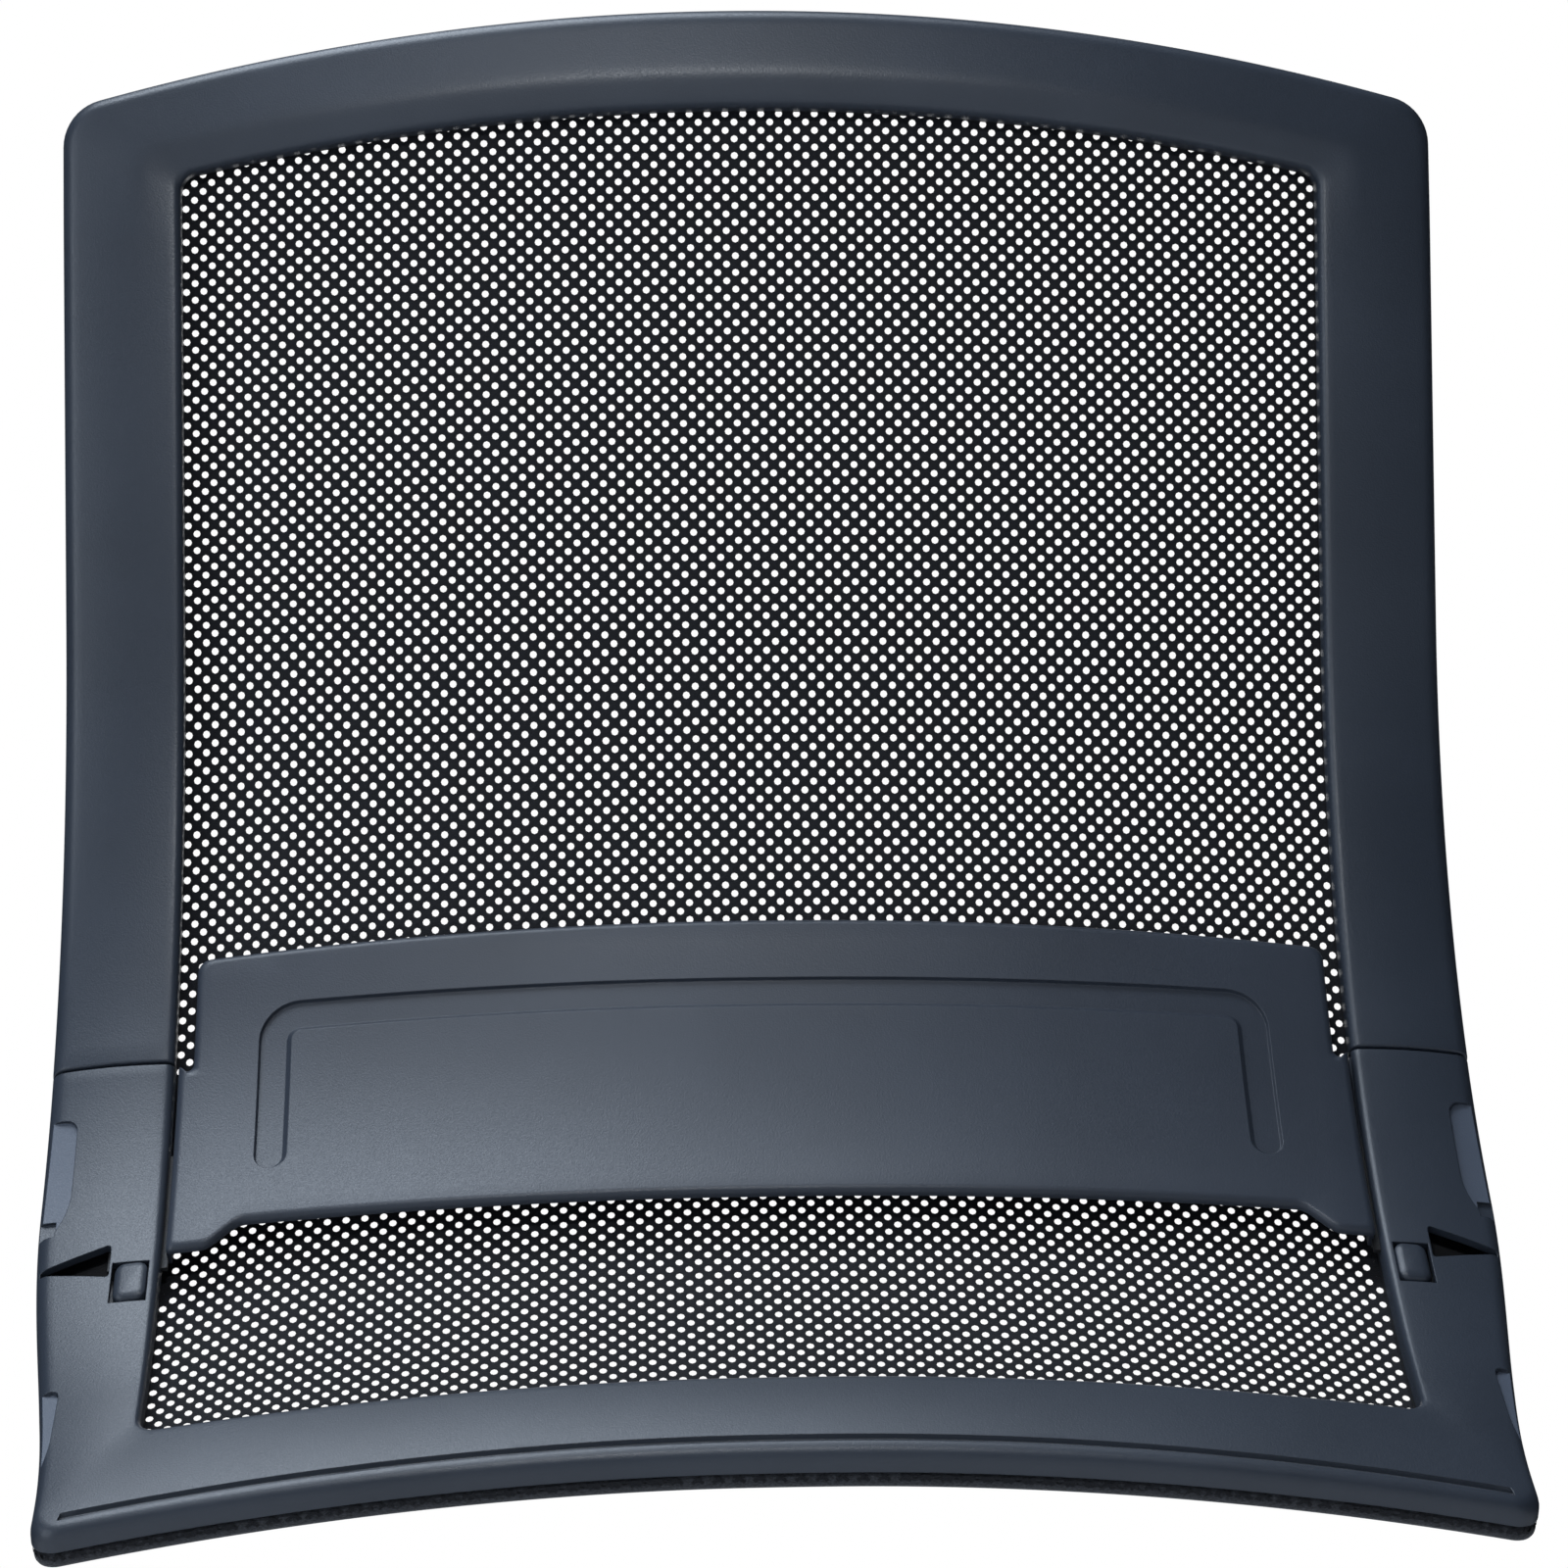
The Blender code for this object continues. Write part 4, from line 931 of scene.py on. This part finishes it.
def studio():
    floor_mesh = bpy.data.meshes.new("floor")
    reach, level = FLOOR_REACH, FLOOR_LEVEL
    corners = [(-reach, -reach, level), (reach, -reach, level), (reach, reach, level), (-reach, reach, level)]
    floor_mesh.from_pydata(corners, [], [(0, 1, 2, 3)])
    floor_mesh.materials.append(floor_paint())
    floor = bpy.data.objects.new("floor", floor_mesh)
    bpy.context.collection.objects.link(floor)

    world = bpy.data.worlds.new("studio")
    bpy.context.scene.world = world
    world.use_nodes = True
    tree = world.node_tree
    tree.nodes.clear()
    out = tree.nodes.new("ShaderNodeOutputWorld")
    mix = tree.nodes.new("ShaderNodeMixShader")
    room = tree.nodes.new("ShaderNodeBackground")
    room.inputs["Color"].default_value = ROOM_COLOUR
    room.inputs["Strength"].default_value = ROOM_STRENGTH
    seen = tree.nodes.new("ShaderNodeBackground")
    seen.inputs["Color"].default_value = (1, 1, 1, 1)
    seen.inputs["Strength"].default_value = 1.0
    path = tree.nodes.new("ShaderNodeLightPath")
    tree.links.new(path.outputs["Is Camera Ray"], mix.inputs["Fac"])
    tree.links.new(room.outputs["Background"], mix.inputs[1])
    tree.links.new(seen.outputs["Background"], mix.inputs[2])
    tree.links.new(mix.outputs["Shader"], out.inputs["Surface"])

    area_light("overhead", (-0.54, -0.62, 2.1), MIDDLE, (1.3, 1.6), 55, DAYLIGHT)
    area_light("side", (-2.2, -1.4, 0.15), MIDDLE, (0.8, 1.5), 17, DAYLIGHT)
    brow_target, crest_target = (-0.08, 0, TOP_BAR_LEVEL), (-0.03, 0, TOP_BAR_LEVEL)
    area_light("brow", (-0.36, -1.5, 0.80), brow_target, (0.6, 0.25), 1.4, (0.84, 0.91, 1.0))
    area_light("crest", (-0.05, -0.70, 0.37), crest_target, (0.17, 0.025), 1.9, (0.92, 0.96, 1.0))
    area_light("front", (0.4, 2.4, 1.6), MIDDLE, (1.6, 1.6), 16)


def camera():
    yaw, pitch = CAMERA_YAW, CAMERA_PITCH
    data = bpy.data.cameras.new("camera")
    data.sensor_width = SENSOR_WIDTH
    data.lens = CAMERA_LENS
    item = bpy.data.objects.new("camera", data)
    ahead = Vector((math.sin(yaw), math.cos(yaw) * math.cos(pitch), math.cos(yaw) * math.sin(pitch)))
    turn = ahead.to_track_quat("-Z", "Y").to_matrix() @ Matrix.Rotation(CAMERA_ROLL, 3, "Z")
    item.matrix_world = Matrix.Translation(CAMERA_PLACE) @ turn.to_4x4()
    bpy.context.collection.objects.link(item)
    bpy.context.scene.camera = item


def dress(item, material):
    item.data.materials.clear()
    item.data.materials.append(material)


def main():
    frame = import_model()
    camera()
    studio()
    bpy.context.scene.view_settings.view_transform = "Standard"

    shell_plastic = plastic("frame_plastic_fine", (0.026, 0.033, 0.046), 0.40)
    panel_plastic = plastic("panel_plastic_fine", (0.027, 0.034, 0.048), 0.42)
    # A lighter copy of the shell plastic for the pocket floors: painted light, standing for the light the
    # recessed floors catch.
    lit_pocket_paint = plastic("pocket_floor_painted_light", (0.065, 0.080, 0.110), 0.5)
    core_plastic = plastic("core_plastic_fine", (0.012, 0.012, 0.014), 0.55, 0.5)
    slide_plastic = plastic("slide_plastic_fine", (0.012, 0.012, 0.013), 0.62, 0.2)
    yarn = knit("mesh_yarn", (0.002, 0.002, 0.003), (0.011, 0.012, 0.016), 0.05, 1500)
    band = knit("hem_knit", (0.003, 0.003, 0.004), (0.045, 0.048, 0.056), 0.25, 1100)
    zinc = steel("screw_zinc")

    upper_shell(shell_plastic)
    lower_shell(shell_plastic, lit_pocket_paint)
    lumbar_panel(panel_plastic)
    end_stops(shell_plastic)
    cloth("mesh_cloth_upper", BEYOND_TOP, CLOTH_SPLIT, yarn)
    cloth("mesh_cloth_lower", CLOTH_SPLIT, BEYOND_FOOT, yarn, [hem(band)])

    for name, item in frame["nodes"].items():
        if "screw" in name or "spring" in name:
            dress(item, zinc)
        elif name.startswith(("lumbar_rail", "lumbar_slider")):
            dress(item, slide_plastic)
        elif name.startswith(("front_carrier", "mesh_strip")):
            dress(item, core_plastic)


main()
